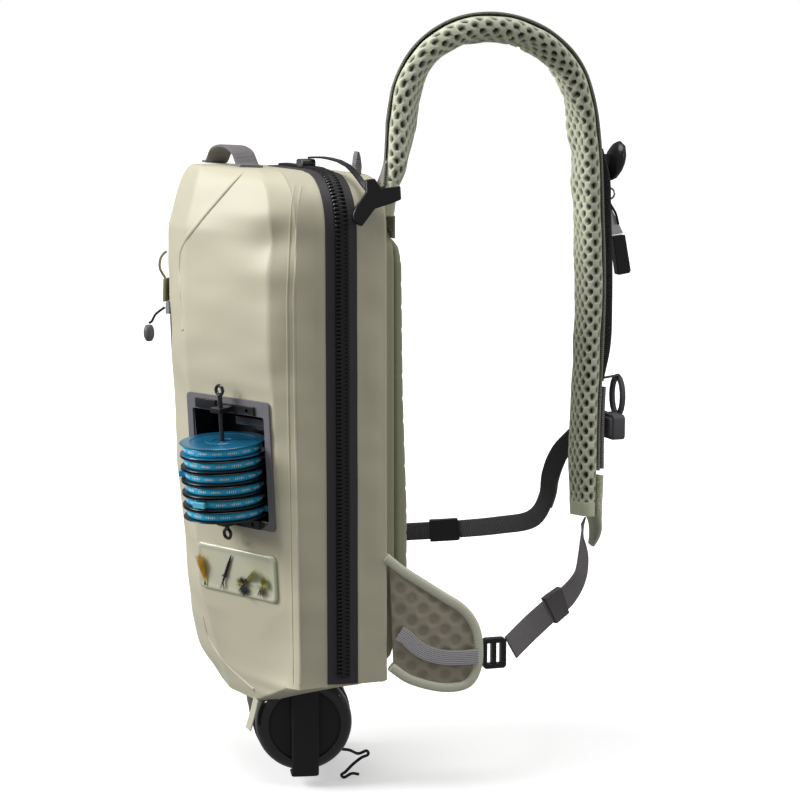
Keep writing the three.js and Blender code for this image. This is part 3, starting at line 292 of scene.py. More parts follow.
def half_width(z):
    """Half the bag's width at a height, with its round top corners and cut bottom ones."""
    into = np.clip(z - (bag_height - top_corner), 0, top_corner)
    half = bag_width / 2 - top_corner + np.sqrt(top_corner ** 2 - into ** 2)
    return half - np.where(z < corner_lift, corner_slope * (1 - z / corner_lift), 0)


ups = np.concatenate([np.linspace(0, 0.88, 150), 0.88 + 0.12 * np.sin(np.linspace(0, math.pi / 2, 34))[1:]])
lifts, bevels, crowns = (np.interp(ups, levels[:, 0], levels[:, k]) for k in (1, 2, 3))
kernel = np.ones(9) / 9
for shares in (bevels, crowns):
    shares[6:140] = np.convolve(np.pad(shares, 4, mode="edge"), kernel, mode="valid")[6:140]
body_rows = []
for up, lift, bevel, crown in zip(ups, lifts, bevels, crowns):
    half = float(half_width(np.float64(up * bag_height)))
    depths = {"rear": 0, "seam": seam_depth, "bevel": bevel, "crown": crown}
    corners = np.array([(across * half, -depths[kind] * share * bag_depth) for across, kind, share, radius in folds])
    outline = []
    for i, corner in enumerate(corners):
        before, after = corners[i - 1] - corner, corners[(i + 1) % 8] - corner
        opening = math.acos(np.clip(np.dot(before, after) / np.linalg.norm(before) / np.linalg.norm(after), -1, 1)) / 2
        reach = min(folds[i][3] * 1.15 / math.tan(opening), np.linalg.norm(before) * 0.45, np.linalg.norm(after) * 0.45)
        start, end = corner + unit(before) * reach, corner + unit(after) * reach
        t = np.linspace(0, 1, corner_steps)[:, None]
        outline.append(start * (1 - t) ** 2 + 2 * corner * t * (1 - t) + end * t ** 2)
    ring = []
    for i in range(8):
        ring.append(outline[i])
        t = np.linspace(0, 1, columns_between[i] + 2)[1:-1, None]
        ring.append(outline[i][-1] * (1 - t) + outline[(i + 1) % 8][0] * t)
    ring = np.vstack(ring)
    fall = rear_lift if up < 0.5 else -top_fall
    height = up * bag_height + lift * fall * (1 + ring[:, 1] / (crown * bag_depth))
    body_rows.append(np.c_[ring, height])
body = np.array(body_rows)
body_columns = body.shape[1]
across_way = np.roll(body, -1, axis=1) - np.roll(body, 1, axis=1)
up_way = np.gradient(body, axis=0)
body_normals = unit(np.cross(up_way, across_way))
if np.mean(np.sum(body_normals[:, :, :2] * (body[:, :, :2] - [0, -60]), axis=2)) < 0:
    body_normals = -body_normals
fold_at = [0]
for count in columns_between[:-1]:
    fold_at.append(fold_at[-1] + corner_steps + count)
fold_columns = [start + corner_steps / 2 - 0.5 for start in fold_at]


def near_fold(fold, width):
    """1 on a fold's column, falling to 0 over a width in columns."""
    away = np.abs(np.arange(body_columns) - fold_columns[fold])
    return np.exp(-(np.minimum(away, body_columns - away) / width) ** 2)


# Dents and swells of the panels, which belong to a filled bag of soft cloth. Each has its middle, its reach
# (x, y, z) and its depth in millimetres; a depth less than nothing stands out.
dents = [
    ((108, -88, 395), (18, 34, 15), 5.0), ((60, -128, 340), (40, 30, 70), -1.6),
    ((60, -125, 120), (40, 30, 60), -1.2), ((16, -140, 360), (12, 20, 60), 1.0),
    ((125, -66, 300), (12, 12, 90), 2.2), ((125, -66, 120), (12, 12, 60), -1.6),
    ((125, -12, 230), (10, 10, 120), -1.6), ((-48, -136, 300), (14, 16, 40), 2.4),
    ((100, -95, 60), (30, 30, 24), 2.6), ((112, -84, 330), (12, 24, 24), -1.6),
    ((30, -125, 40), (40, 40, 20), 1.8), ((-100, -60, 300), (40, 40, 60), 1.6),
    ((-60, -100, 160), (50, 40, 60), 1.8), ((70, -95, 430), (40, 26, 12), 1.2),
]
push = np.zeros(body.shape[:2])
for middle, widths, depth in dents:
    push -= depth * np.exp(-np.sum(((body - middle) / widths) ** 2, axis=2))
waves = np.array([noise.noise(Vector(p) * 0.014) for p in body.reshape(-1, 3)]).reshape(push.shape)
creases = np.array([noise.noise(Vector((p[0] * 0.02, p[1] * 0.02, p[2] * 0.045 + 7))) for p in body.reshape(-1, 3)])
push += 2.0 * waves + 1.2 * creases.reshape(push.shape)
rear_face = body[:, :, 1] > -4
push[rear_face] = np.minimum(push[rear_face], 0) * 0.2
ends = np.clip(np.minimum(ups / 0.03, (1 - ups) / 0.03), 0, 1)[:, None]
zip_side = (body[:, :, 0] > 60) & (body[:, :, 1] > -56) & (body[:, :, 1] < -22)
push = push * ends
push[zip_side] *= 0.25
near_ridge, far_ridge = 0.5, 0.35
push += near_ridge * near_fold(1, 0.9) + far_ridge * near_fold(6, 0.9)
body = body + body_normals * push[:, :, None]

# Window for the spool tray: cut in the front panel, which lies flat under the holder's welded frame.
# The panel between the two front folds gives the holder its own frame: across, into the bag, and up.
zone_low, zone_high = levels[4], levels[5]


def zone_corner(fold, row):
    """Where a fold stands at a level."""
    depth = row[2 if folds[fold][1] == "bevel" else 3]
    return np.array([folds[fold][0] * bag_width / 2, -depth * bag_depth, row[0] * bag_height])


zone_outer, zone_inner = zone_corner(2, zone_high), zone_corner(3, zone_high)
zone_right = unit(zone_outer - zone_inner)
zone_up = unit(zone_inner - zone_corner(3, zone_low))
zone_out = unit(np.cross(zone_right, zone_up))
zone_up = np.cross(zone_out, zone_right)
zone_centre = (zone_inner + zone_right * np.linalg.norm(zone_outer - zone_inner) / 2
               - zone_up * (zone_inner[2] - 0.4644 * bag_height) / zone_up[2])
zone_axes = np.array([zone_right, -zone_out, zone_up])
frame_width, frame_height = 98.0, 108.0
window_width, window_height, window_low = 85.0, 89.0, -3.5


def on_front(points):
    """Holder-frame millimetres (across, into the bag, up) to the bag's frame."""
    return zone_centre + np.asarray(points, float) @ zone_axes


in_zone = (body - zone_centre) @ zone_axes.T
flat_zone = (np.clip((frame_width / 2 + 9 - np.abs(in_zone[:, :, 0])) / 7, 0, 1)
             * np.clip((frame_height / 2 + 60 - np.abs(in_zone[:, :, 2] + 48)) / 10, 0, 1)
             * (in_zone[:, :, 1] > -14) * (in_zone[:, :, 1] < 20))
body = body - (flat_zone * np.minimum(in_zone[:, :, 1] - 0.25, 0))[:, :, None] * zone_axes[1]
in_zone = (body - zone_centre) @ zone_axes.T
open_points = ((np.abs(in_zone[:, :, 0]) < window_width / 2 + 1.6)
               & (np.abs(in_zone[:, :, 2] - window_low) < window_height / 2 + 1.6)
               & (np.abs(in_zone[:, :, 1]) < 15)).ravel()
faces = lattice(len(ups), body_columns, capped=False)
faces = [face for face in faces if not all(open_points[k] for k in face)]
points = [body.reshape(-1, 3)]
count = len(points[0])
for end, sign in ((0, -1), (len(ups) - 1, 1)):
    rim = body[end]
    spine = np.c_[rim[:, 0] * 0.45, np.full(body_columns, rim[:, 1].mean()), rim[:, 2]]
    previous = np.arange(body_columns) + end * body_columns
    for share, rise in ((0.985, 0.5), (0.95, 0.9), (0.85, 1.3), (0.6, 1.6), (0.3, 1.7), (0.08, 1.7)):
        inner = spine + (rim - spine) * share
        drop = top_fall if sign > 0 else -rear_lift
        level_here = bag_height * (end > 0) - drop * (1 + inner[:, 1] / (crowns[end] * bag_depth))
        inner[:, 2] = level_here + sign * rise * 0.6
        new = np.arange(body_columns) + count
        for j in range(body_columns):
            k = (j + 1) % body_columns
            quad = [int(previous[j]), int(previous[k]), int(new[k]), int(new[j])]
            faces.append(quad if sign > 0 else quad[::-1])
        points.append(inner)
        count += body_columns
        previous = new
    faces.append([int(k) for k in (previous if sign > 0 else previous[::-1])])
fabric = look("bag_fabric", (214, 209, 183), 0.46, uneven=0.035, patch=9.0, grain=1100.0, relief=0.3, sheen=0.1)
bag_body = make("bag_body", np.vstack(points), faces, fabric, ["bag_shell"])

# Welds: ridges 2 to 5 mm wide where two layers of the coated cloth are pressed together under heat.
# Each lies on the bag's skin along a line of the picture, and is made of the bag's own cloth.
skin = BVHTree.FromPolygons([v.co[:] for v in bag_body.data.vertices],
                            [p.vertices[:] for p in bag_body.data.polygons])


def seen(across, down):
    """Where the photograph's line of sight through a picture point meets the bag, and the way out there."""
    way = (sight + level * (across - 400) / focal_pixels + upright * (400 - down) / focal_pixels).normalized()
    hit, normal, index, distance = skin.ray_cast(camera.location, way)
    if hit is None:
        hit, normal, index, distance = skin.find_nearest(camera.location + way * 1.8)
    if normal.dot(way) > 0:
        normal = -normal
    return (np.array(hit) - bag_origin) * 1000, np.array(normal)


def weld(name, line, width, height, step=3.0):
    """A ridge along a line of picture points, laid on the skin."""
    line = np.asarray(line, float)
    run = np.concatenate([[0], np.cumsum(np.linalg.norm(np.diff(line, axis=0), axis=1))])
    stops = np.linspace(0, run[-1], max(int(run[-1] / step), 3) + 1)
    found = [seen(np.interp(s, run, line[:, 0]), np.interp(s, run, line[:, 1])) for s in stops]
    at, out = np.array([f[0] for f in found]), np.array([f[1] for f in found])
    for _ in range(2):
        at[1:-1] = (at[:-2] + 2 * at[1:-1] + at[2:]) / 4
        out[1:-1] = (out[:-2] + 2 * out[1:-1] + out[2:]) / 4
    out = unit(out)
    side = unit(np.cross(np.gradient(at, axis=0), out))
    section = [(-1, -0.6), (-0.9, 0.3), (-0.6, 1), (0, 1.15), (0.6, 1), (0.9, 0.3), (1, -0.6)]
    grid = np.stack([at + side * (x * width / 2) + out * (y * height) for x, y in section], axis=1)
    return make(name, grid, lattice(len(at), len(section)), fabric)


weld("weld_diagonal", [(249, 166), (232, 183), (206, 213), (186, 238), (180, 250), (179, 270), (180, 300),
                       (183, 330)], 5, 0.8)
weld("weld_bottom", [(203, 616), (207, 634), (215, 650), (227, 666), (242, 680), (254, 690)], 4, 0.7)
weld("weld_seam", [(301, 186), (298, 205), (294, 300), (295, 400), (297, 500), (299, 600), (300, 660),
                   (300, 684)], 2.2, 0.5)
weld("weld_seam_inner", [(294, 186), (291, 205), (287, 300), (288, 400), (290, 500), (292, 600), (293, 660),
                         (293, 684)], 1.6, 0.4)

# Zip: a coated woven tape, welded round the top corner and down the side over the slot, with moulded teeth set
# in two staggered rows. Its slider is cast metal and is drawn by a strap with a moulded grip.
zip_set_back, tape_width, tape_end = 26.0, 27.0, 20.0
slot_drop, tape_foot = 4.0, 27.5
tooth_pitch, tooth_width, tooth_height = 3.3, 5.6, 2.4


def on_zip(run, y, off):
    """A place on the zip: run along its length from its top end, y across the bag, off the skin."""
    share = 1 - (1 - folds[1][0]) * (-y / (seam_depth * bag_depth))
    top = bag_height - top_fall * (1 + y / (crowns[-1] * bag_depth))
    flat_run = bag_width / 2 - top_corner + tape_end
    arc_run = math.pi / 2 * top_corner
    if run < flat_run:
        at, out = np.array([-tape_end + run, 0, top]), np.array([0.0, 0, 1])
    elif run < flat_run + arc_run:
        angle = math.pi / 2 - (run - flat_run) / top_corner
        out = np.array([math.cos(angle), 0, math.sin(angle)])
        at = np.array([bag_width / 2 - top_corner, 0, top - top_corner]) + out * top_corner
    else:
        at = np.array([bag_width / 2, 0, top - top_corner - (run - flat_run - arc_run)])
        out = np.array([1.0, 0, 0])
    bend = np.clip((run - flat_run) / arc_run, 0, 1)
    at = np.array([at[0] - (1 - share) * bag_width / 2 * bend, y, at[2]])
    start = Vector(place(at + out * 15))
    hit = skin.ray_cast(start, Vector(-out), 0.03)[0]
    if hit is not None:
        at = (np.array(hit) - bag_origin) * 1000
    return at + out * off


zip_run = (bag_width / 2 - top_corner + tape_end + math.pi / 2 * top_corner
           + (bag_height - slot_drop - top_corner - tape_foot))
zip_middle = -(zip_set_back + tape_width / 2)
tape_section = [(-13.2, 0.1), (-13.0, 0.8), (-9, 0.9), (-6.6, 1.3), (6.6, 1.3), (9, 0.9), (13.0, 0.8), (13.2, 0.1)]
tape_runs = np.linspace(0, zip_run, 260)
grid = np.array([[on_zip(run, zip_middle + y, off) for y, off in tape_section]
                 + [on_zip(run, zip_middle + y, -1.2) for y in (13.2, -13.2)] for run in tape_runs])
tape = look("zip_tape_cloth", (62, 58, 62), 0.6, grain=1300.0, relief=0.5)
make("zip_tape_cloth", grid, lattice(len(tape_runs), len(tape_section) + 2), tape,
     ["zip_tape"], marks={"along": np.repeat(tape_runs, len(tape_section) + 2)})

# Teeth of the zip: hard moulded plastic, each clamped on the tape's beaded edge. One tooth is one unit long,
# wide and high; geometry nodes set it on a seat for each tooth, turned to the zip's run.
tooth_section = [(0.5, 0.0), (0.5, 0.55), (0.36, 0.9), (0.12, 1.0), (-0.12, 1.0), (-0.36, 0.9), (-0.5, 0.55),
                 (-0.5, 0.0)]
tooth_shape = bpy.data.meshes.new("tooth_shape")
tooth_shape.from_pydata([(along * (0.86 if reach < 0.5 else 0.7), reach, up * high)
                         for reach, high in ((-0.3, 0.9), (0.35, 1.0), (0.85, 0.95), (1.0, 0.6))
                         for along, up in tooth_section], [],
                        [face[::-1] for face in lattice(4, len(tooth_section))])
tooth_shape.polygons.foreach_set("use_smooth", [True] * len(tooth_shape.polygons))
tooth_shape.set_sharp_from_angle(angle=math.radians(38))
tooth_object = bpy.data.objects.new("tooth_shape", tooth_shape)
seats, runs_on, faces_out = [], [], []
for i in range(int((zip_run - 8) / tooth_pitch * 2)):
    side = 1 if i % 2 else -1
    run = 4 + i * tooth_pitch / 2
    seat, above = on_zip(run, zip_middle, 1.2), on_zip(run, zip_middle, 3.2)
    ahead = on_zip(run + 0.6, zip_middle, 1.2)
    seats.append(seat)
    runs_on.append(-side * (ahead - seat))
    faces_out.append(above - seat)


def set_on_seats(name, seats, across, outward, shape, sizes, material, nodes=(), body="bag"):
    """Repeats a small shape on a list of seats with geometry nodes, and keeps the result as one plain mesh."""
    rail = bpy.data.meshes.new(name)
    rail.from_pydata(place(seats).tolist(), [], [])
    for key, vectors in (("seat_across", across), ("seat_outward", outward)):
        held = rail.attributes.new(key, "FLOAT_VECTOR", "POINT")
        held.data.foreach_set("vector", np.asarray(vectors, np.float32).ravel())
    obj = bpy.data.objects.new(name, rail)
    bpy.context.scene.collection.objects.link(obj)
    tree = bpy.data.node_groups.new(name + "_nodes", "GeometryNodeTree")
    sockets = {"Seats": "NodeSocketGeometry", "Shape": "NodeSocketObject", "Finish": "NodeSocketMaterial",
               "Length": "NodeSocketFloat", "Width": "NodeSocketFloat", "Height": "NodeSocketFloat"}
    keys = {key: tree.interface.new_socket(key, in_out="INPUT", socket_type=kind).identifier
            for key, kind in sockets.items()}
    tree.interface.new_socket("Result", in_out="OUTPUT", socket_type="NodeSocketGeometry")
    given, result = tree.nodes.new("NodeGroupInput"), tree.nodes.new("NodeGroupOutput")
    source = tree.nodes.new("GeometryNodeObjectInfo")
    turn = tree.nodes.new("FunctionNodeAxesToRotation")
    turn.primary_axis, turn.secondary_axis = "Z", "X"
    for key, socket in (("seat_outward", "Primary Axis"), ("seat_across", "Secondary Axis")):
        read = tree.nodes.new("GeometryNodeInputNamedAttribute")
        read.data_type = "FLOAT_VECTOR"
        read.inputs["Name"].default_value = key
        tree.links.new(read.outputs["Attribute"], turn.inputs[socket])
    scale = tree.nodes.new("ShaderNodeCombineXYZ")
    for key, socket in (("Length", "X"), ("Width", "Y"), ("Height", "Z")):
        tree.links.new(given.outputs[key], scale.inputs[socket])
    repeat = tree.nodes.new("GeometryNodeInstanceOnPoints")
    real = tree.nodes.new("GeometryNodeRealizeInstances")
    finish = tree.nodes.new("GeometryNodeSetMaterial")
    tree.links.new(given.outputs["Shape"], source.inputs["Object"])
    tree.links.new(given.outputs["Seats"], repeat.inputs["Points"])
    tree.links.new(source.outputs["Geometry"], repeat.inputs["Instance"])
    tree.links.new(turn.outputs["Rotation"], repeat.inputs["Rotation"])
    tree.links.new(scale.outputs["Vector"], repeat.inputs["Scale"])
    tree.links.new(repeat.outputs["Instances"], real.inputs["Geometry"])
    tree.links.new(real.outputs["Geometry"], finish.inputs["Geometry"])
    tree.links.new(given.outputs["Finish"], finish.inputs["Material"])
    tree.links.new(finish.outputs["Geometry"], result.inputs["Result"])
    grower = obj.modifiers.new("repeat", "NODES")
    grower.node_group = tree
    for key, value in (("Shape", shape), ("Finish", material), ("Length", sizes[0] / 1000),
                       ("Width", sizes[1] / 1000), ("Height", sizes[2] / 1000)):
        grower[keys[key]] = value
    grown = bpy.data.meshes.new_from_object(obj.evaluated_get(bpy.context.evaluated_depsgraph_get()))
    obj.modifiers.clear()
    obj.data = grown
    if nodes:
        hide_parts(*nodes)
    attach(obj, body)
    return obj


chain_black = look("zip_teeth", (22, 22, 24), 0.35, grain=500.0, relief=0.1)
set_on_seats("zip_teeth", seats, runs_on, faces_out, tooth_object, (tooth_pitch, tooth_width, tooth_height),
             chain_black, ["zip_chain"])


def softened(name, node, material, width=0.5, body="bag", extra=None):
    """A moulded piece: the CAD solid's own shape with rounded edges."""
    source = bpy.data.objects[node]
    mesh = source.data.copy()
    mesh.transform(source.matrix_world)
    mesh.name = name
    mesh.materials.clear()
    mesh.materials.append(material)
    made = bpy.data.objects.new(name, mesh)
    bpy.context.scene.collection.objects.link(made)
    work = bmesh.new()
    work.from_mesh(mesh)
    bmesh.ops.remove_doubles(work, verts=work.verts, dist=1e-6)
    bmesh.ops.dissolve_limit(work, angle_limit=math.radians(1), verts=work.verts, edges=work.edges)
    work.to_mesh(mesh)
    work.free()
    for polygon in mesh.polygons:
        polygon.material_index = 0
        polygon.use_smooth = True
    if extra:
        mesh.materials.append(extra[0])
        for polygon in mesh.polygons:
            spot = (np.array(polygon.center) - bag_origin) * 1000
            polygon.material_index = int(extra[1](spot))
    bevel = made.modifiers.new("edges", "BEVEL")
    bevel.width, bevel.segments, bevel.limit_method = width / 1000, 3, "ANGLE"
    bevel.angle_limit = math.radians(34)
    bevel.harden_normals = False
    mesh.set_sharp_from_angle(angle=math.radians(40))
    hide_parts(node)
    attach(made, body)
    return made


black_plastic = look("black_plastic", (30, 30, 33), 0.28, uneven=0.1, grain=900.0, relief=0.08)
softened("slider_body", "zip_slider", look("slider_metal", (92, 92, 96), 0.3, metal=0.6), 0.9)
softened("pull_grip", "zip_pull", black_plastic, 1.1)
softened("pull_webbing", "zip_pull_strap", black_plastic, 0.3)

# Shoulder strap's pad: foam under an open spacer mesh, sewn round its edge, which arches over the shoulder.
# Its rows give across, out, up, rise, turn, wide and thick, as in the CAD. The mesh's holes are pressed into its
# inner face and both edges, with painted shade in them, and creases gather under the arch.
strap_width, strap_thickness, strap_reach, strap_rise = 50.0, 18.0, 211.0, 112.0
strap_rows = [
    (0.8, 0.034, 0.912, 0, 0, 0.55, 0.5), (0.784, 0.05, 0.955, 0, 8, 0.78, 0.7), (0.76, 0.09, 1, 0, 20, 0.95, 0.95),
    (0.736, 0.125, 1, 0.3, 36, 1, 1), (0.712, 0.155, 1, 0.55, 36, 1, 1), (0.69, 0.213, 1, 0.76, 26, 1, 1.04),
    (0.66, 0.33, 1, 0.93, 16, 1, 1.08), (0.64, 0.476, 1, 1, 10, 1, 1.08), (0.62, 0.62, 1, 0.985, 4, 1, 1.04),
    (0.6, 0.75, 1, 0.9, -2, 1, 1), (0.57, 0.87, 1, 0.72, -8, 1, 1), (0.56, 0.935, 1, 0.45, -10, 1, 1),
    (0.55, 0.967, 1, 0.1, -10, 1, 1), (0.535, 0.984, 0.92, 0, -10, 1, 1), (0.53, 1, 0.77, 0, -10, 1, 0.98),
    (0.545, 0.99, 0.62, 0, -10, 1, 0.95), (0.58, 0.97, 0.51, 0, -10, 1, 0.95), (0.63, 0.953, 0.41, 0, -8, 1, 0.95),
    (0.672, 0.943, 0.32, 0, -6, 0.92, 0.7),
]


def on_wearer(across, out, up, rise=0.0):
    """A place round the wearer, in shares of the bag's width, the strap's reach, the bag's height and the rise."""
    return np.array([across * bag_width / 2, out * strap_reach, up * bag_height + rise * strap_rise])


arch_middle = np.array([0, 0.5 * strap_reach, bag_height])
strap_points = [on_wearer(*row[:4]) for row in strap_rows]
strap_count = len(strap_rows)


def curve_way(points, spots, delta=0.0001):
    """The way a curve runs, as the CAD takes it."""
    last = len(points) - 1
    ahead = route(points, np.clip(np.asarray(spots) + delta * last, 0, last))
    return unit(ahead - route(points, np.clip(np.asarray(spots) - delta * last, 0, last)))


def turned_about(vector, axis, angle):
    """A vector turned about an axis."""
    return (vector * math.cos(angle) + np.cross(axis, vector) * math.sin(angle)
            + axis * np.dot(axis, vector) * (1 - math.cos(angle)))


strap = []
for point, row, way in zip(strap_points, strap_rows, curve_way(strap_points, np.arange(strap_count))):
    face = point - arch_middle
    if point[2] < arch_middle[2]:
        face[2] = 0
    face[0] = 0
    face = unit(face - way * np.dot(face, way))
    strap.append((point, turned_about(face, way, math.radians(-row[4])), row[5], row[6]))


def rounded(sides, squareness):
    """A rounded section of unit size, across by through."""
    angles = 2 * math.pi * (np.arange(sides) + 0.5) / sides
    return [(np.sign(math.cos(a)) * abs(math.cos(a)) ** (2 / squareness),
             np.sign(math.sin(a)) * abs(math.sin(a)) ** (2 / squareness)) for a in angles]


def course(rows, pitch, count=None):
    """Even places along rows of (at, face, wide, thick): centre, across, face, wide, thick and the distance."""
    spots, along = evenly([row[0] for row in rows], pitch, count)
    centre = route([row[0] for row in rows], spots)
    tangent = unit(np.gradient(centre, axis=0))
    index = np.arange(len(rows))
    face = np.stack([np.interp(spots, index, [row[1][k] for row in rows]) for k in range(3)], axis=1)
    face = unit(face - tangent * np.sum(face * tangent, axis=1, keepdims=True))
    wide = np.interp(spots, index, [row[2] for row in rows])
    thick = np.interp(spots, index, [row[3] for row in rows])
    return centre, np.cross(face, tangent), face, wide, thick, along


def marked(made, mark, colour):
    """Colours a material by a mark from 0 to 1 on its mesh; both uses here paint shade into holes and dimples."""
    nodes, links = made.node_tree.nodes, made.node_tree.links
    read = nodes.new("ShaderNodeAttribute")
    read.attribute_name = mark
    over = nodes.new("ShaderNodeMix")
    over.data_type = "RGBA"
    over.inputs["B"].default_value = linear(colour) + [1]
    links.new(read.outputs["Fac"], over.inputs["Factor"])
    links.new(nodes["tint"].outputs["Result"], over.inputs["A"])
    links.new(over.outputs["Result"], nodes["Principled BSDF"].inputs["Base Color"])
    return made


hole_pitch_along, hole_pitch_across, hole_radius, hole_depth = 12.4, 6.5, 3.25, 2.2
plain_start, plain_end, arch_at, arch_spread = 26.0, 12.0, 300.0, 120.0
fine_sides, pad_sides = 400, 78
centre, across, face, wider, thicker, along = course(strap, 1.45)
pad_section = np.array(rounded(fine_sides, 2.6))
half_pad = [strap_width / 2, strap_thickness / 2]
perimeter = np.concatenate([[0], np.cumsum(np.linalg.norm(np.diff(pad_section * half_pad, axis=0), axis=1))])
around = np.linspace(0, perimeter[-1], pad_sides, endpoint=False)
even_angles = np.interp(around, perimeter, np.arange(fine_sides))
pad_section = np.stack([np.interp(even_angles, np.arange(fine_sides), pad_section[:, k]) for k in (0, 1)], axis=1)
grid = np.stack([centre + across * (x * wider * strap_width / 2)[:, None]
                 + face * (y * thicker * strap_thickness / 2)[:, None] for x, y in pad_section], axis=1)
outward = unit(np.stack([across * x / half_pad[0] + face * y / half_pad[1] for x, y in pad_section], axis=1))
columns = np.round(perimeter[-1] / hole_pitch_across / 2) * 2
u = np.repeat(along[:, None] / hole_pitch_along, pad_sides, axis=1)
v = np.repeat(around[None, :] / perimeter[-1] * columns, len(along), axis=0)
distance = np.full(u.shape, 99.0)
for shift_u, shift_v in ((0, 0), (0.5, 1)):
    du = (u - shift_u - np.round(u - shift_u)) * hole_pitch_along
    dv = (v - shift_v - 2 * np.round((v - shift_v) / 2)) * perimeter[-1] / columns
    distance = np.minimum(distance, np.hypot(du, dv))
hole = np.clip((hole_radius - distance) / 0.7, 0, 1)
through = np.array([y for x, y in pad_section])[None, :]
plain = (through > 0.78) | (along < plain_start)[:, None] | (along > along[-1] - plain_end)[:, None]
hole[plain] = 0
under = through < -0.75
arch = np.exp(-((along - arch_at) / arch_spread) ** 2)[:, None]
folds_across = np.array([[noise.noise(Vector(p) * 0.045) for p in row] for row in grid])
crease_height = 0.9 * folds_across * (1.0 + 4.2 * under * arch)
grid = grid + outward * (crease_height - hole * hole_depth)[:, :, None]
# The holes are coloured near black: painted shade, standing in for the shade inside the pressed holes.
strap_mesh = marked(look("strap_mesh_cloth", (222, 225, 198), 0.85, grain=1200.0, relief=0.6, sheen=0.3), "hole",
                    (26, 28, 22))
strap_cushion = make("strap_pad_mesh", grid, lattice(len(along), pad_sides), strap_mesh, ["strap_pad"],
                     marks={"hole": hole, "along": np.repeat(along, pad_sides)}, crease=60)

# Webbings on the strap: a grey ply sewn down the pad's outer face; a black tool webbing tacked to it at both
# ends; a stiff side plate for the buckle's socket; an end tab of binding cloth; and a strip that ties the pad to
# the back board. All are woven nylon with ribs across.
ply_width, ply_thickness, webbing_thickness, plate_thickness = 34.0, 1.6, 1.8, 3.0
tool_width, plate_width, base_width, tab_thickness = 26.0, 34.0, 24.0, 3.0
board_height, board_thickness = 370.0, 9.5
ply_off = clearance + ply_thickness / 2 + 0.5
plate_start, tab_start = 15.45, 17.12


def beside(rows, start, end, off, count=6, thickness=0.0):
    """Rows beside a pad or webbing, off its face; start and end count along its rows."""
    spots = np.linspace(start, end, count)
    points = [row[0] for row in rows]
    at, ways = route(points, spots), curve_way(points, spots)
    index = np.arange(len(rows))
    made = []
    for spot, place_at, way in zip(spots, at, ways):
        face = np.array([np.interp(spot, index, [row[1][k] for row in rows]) for k in range(3)])
        face = unit(face - way * np.dot(face, way))
        thick = np.interp(spot, index, [row[3] for row in rows]) * thickness
        made.append((place_at + face * (thick / 2 + off), face, 1.0, 1.0))
    return made


webbing_section = rounded(14, 7)


def webbing(name, rows, wide, thick, material, nodes, pitch=2.5, section=webbing_section):
    """A flat webbing, or any even section, swept along its rows and marked along and across."""
    centre, across, face, wider, thicker, along = course(rows, pitch)
    grid = np.stack([centre + across * (x * wider * wide / 2)[:, None] + face * (y * thicker * thick / 2)[:, None]
                     for x, y in section], axis=1)
    marks = {"along": np.repeat(along, len(section)), "across": np.tile([x * wide / 2 for x, y in section], len(along))}
    return make(name, grid, lattice(len(along), len(section)), material, nodes, marks=marks)


grey_webbing = ribbed(look("grey_webbing", (126, 122, 125), 0.75, grain=1500.0, relief=0.3, sheen=0.2), "along", 1.7)
dark_webbing = ribbed(look("dark_webbing", (60, 58, 61), 0.75, grain=1500.0, relief=0.3, sheen=0.2), "along", 1.7)
binding_cloth = ribbed(look("binding_cloth", (236, 238, 214), 0.8, grain=1400.0, relief=0.4, sheen=0.2), "along", 1.5,
                       0.0002)
ply_rows = beside(strap, 1, tab_start - 0.08, ply_off, 34, strap_thickness)
ply_cloth = ribbed(look("ply_cloth", (156, 154, 146), 0.75, grain=1500.0, relief=0.3, sheen=0.3), "along", 1.7)
webbing("strap_ply", ply_rows, ply_width, ply_thickness, ply_cloth, ["strap_outer_ply"])
tool_off = ply_off + (ply_thickness + webbing_thickness) / 2 + clearance + 0.2
tool_rows = beside(strap, 12, plate_start - 0.1, tool_off, 7, strap_thickness)
tool_rows[1:-1] = [(at + way * 5.0, way, w, t) for at, way, w, t in tool_rows[1:-1]]
webbing("tool_strip", tool_rows, tool_width, webbing_thickness, dark_webbing, ["tool_webbing"])
tab_rows = beside(strap, tab_start, 17.9, ply_off + 1.05, 3, strap_thickness) + [
    (on_wearer(0.682, 1.0, 0.295), (0.2, 1, 0.1), 0.8, 1), (on_wearer(0.68, 0.995, 0.274), (0.2, 1, 0.2), 0.5, 1),
    (on_wearer(0.675, 0.985, 0.259), (0.2, 1, 0.3), 0.26, 1)]
webbing("end_tab", tab_rows, strap_width * 0.94, tab_thickness, binding_cloth, ["strap_end_tab"],
        section=rounded(20, 5))
plate_off = ply_off + (ply_thickness + plate_thickness) / 2 + clearance + 0.5
plate_rows = beside(strap, plate_start, tab_start - 0.12, plate_off, 5, strap_thickness)
webbing("side_plate_webbing", plate_rows, plate_width, plate_thickness, grey_webbing,
        ["side_plate"])
pad_top = board_bottom + board_height - 12
pad_back = board_thickness + 2 * clearance
base_rows = [((0.4 * bag_width, pad_back + webbing_thickness / 2 + 0.1, up * bag_height), (0, 1, 0.1), 1, 1)
             for up in (0.915, 0.9, 0.886, (pad_top + 1.2) / bag_height)]
webbing("base_strip", base_rows, base_width, webbing_thickness, ply_cloth,
        ["strap_base_webbing"])

# Buckle and accessory loop: moulded acetal fittings on the strap's side plate. The socket is sewn to the plate,
# the waist webbing ends in the plug, and the open loop above them hangs from a tether.
grey_plastic = look("grey_plastic", (98, 96, 101), 0.42, uneven=0.08, grain=1200.0, relief=0.15)
softened("buckle_half_socket", "buckle_socket", grey_plastic, 1.0)
softened("buckle_half_plug", "buckle_plug", grey_plastic, 1.0)
softened("accessory_loop", "oval_loop", grey_plastic, 0.5)

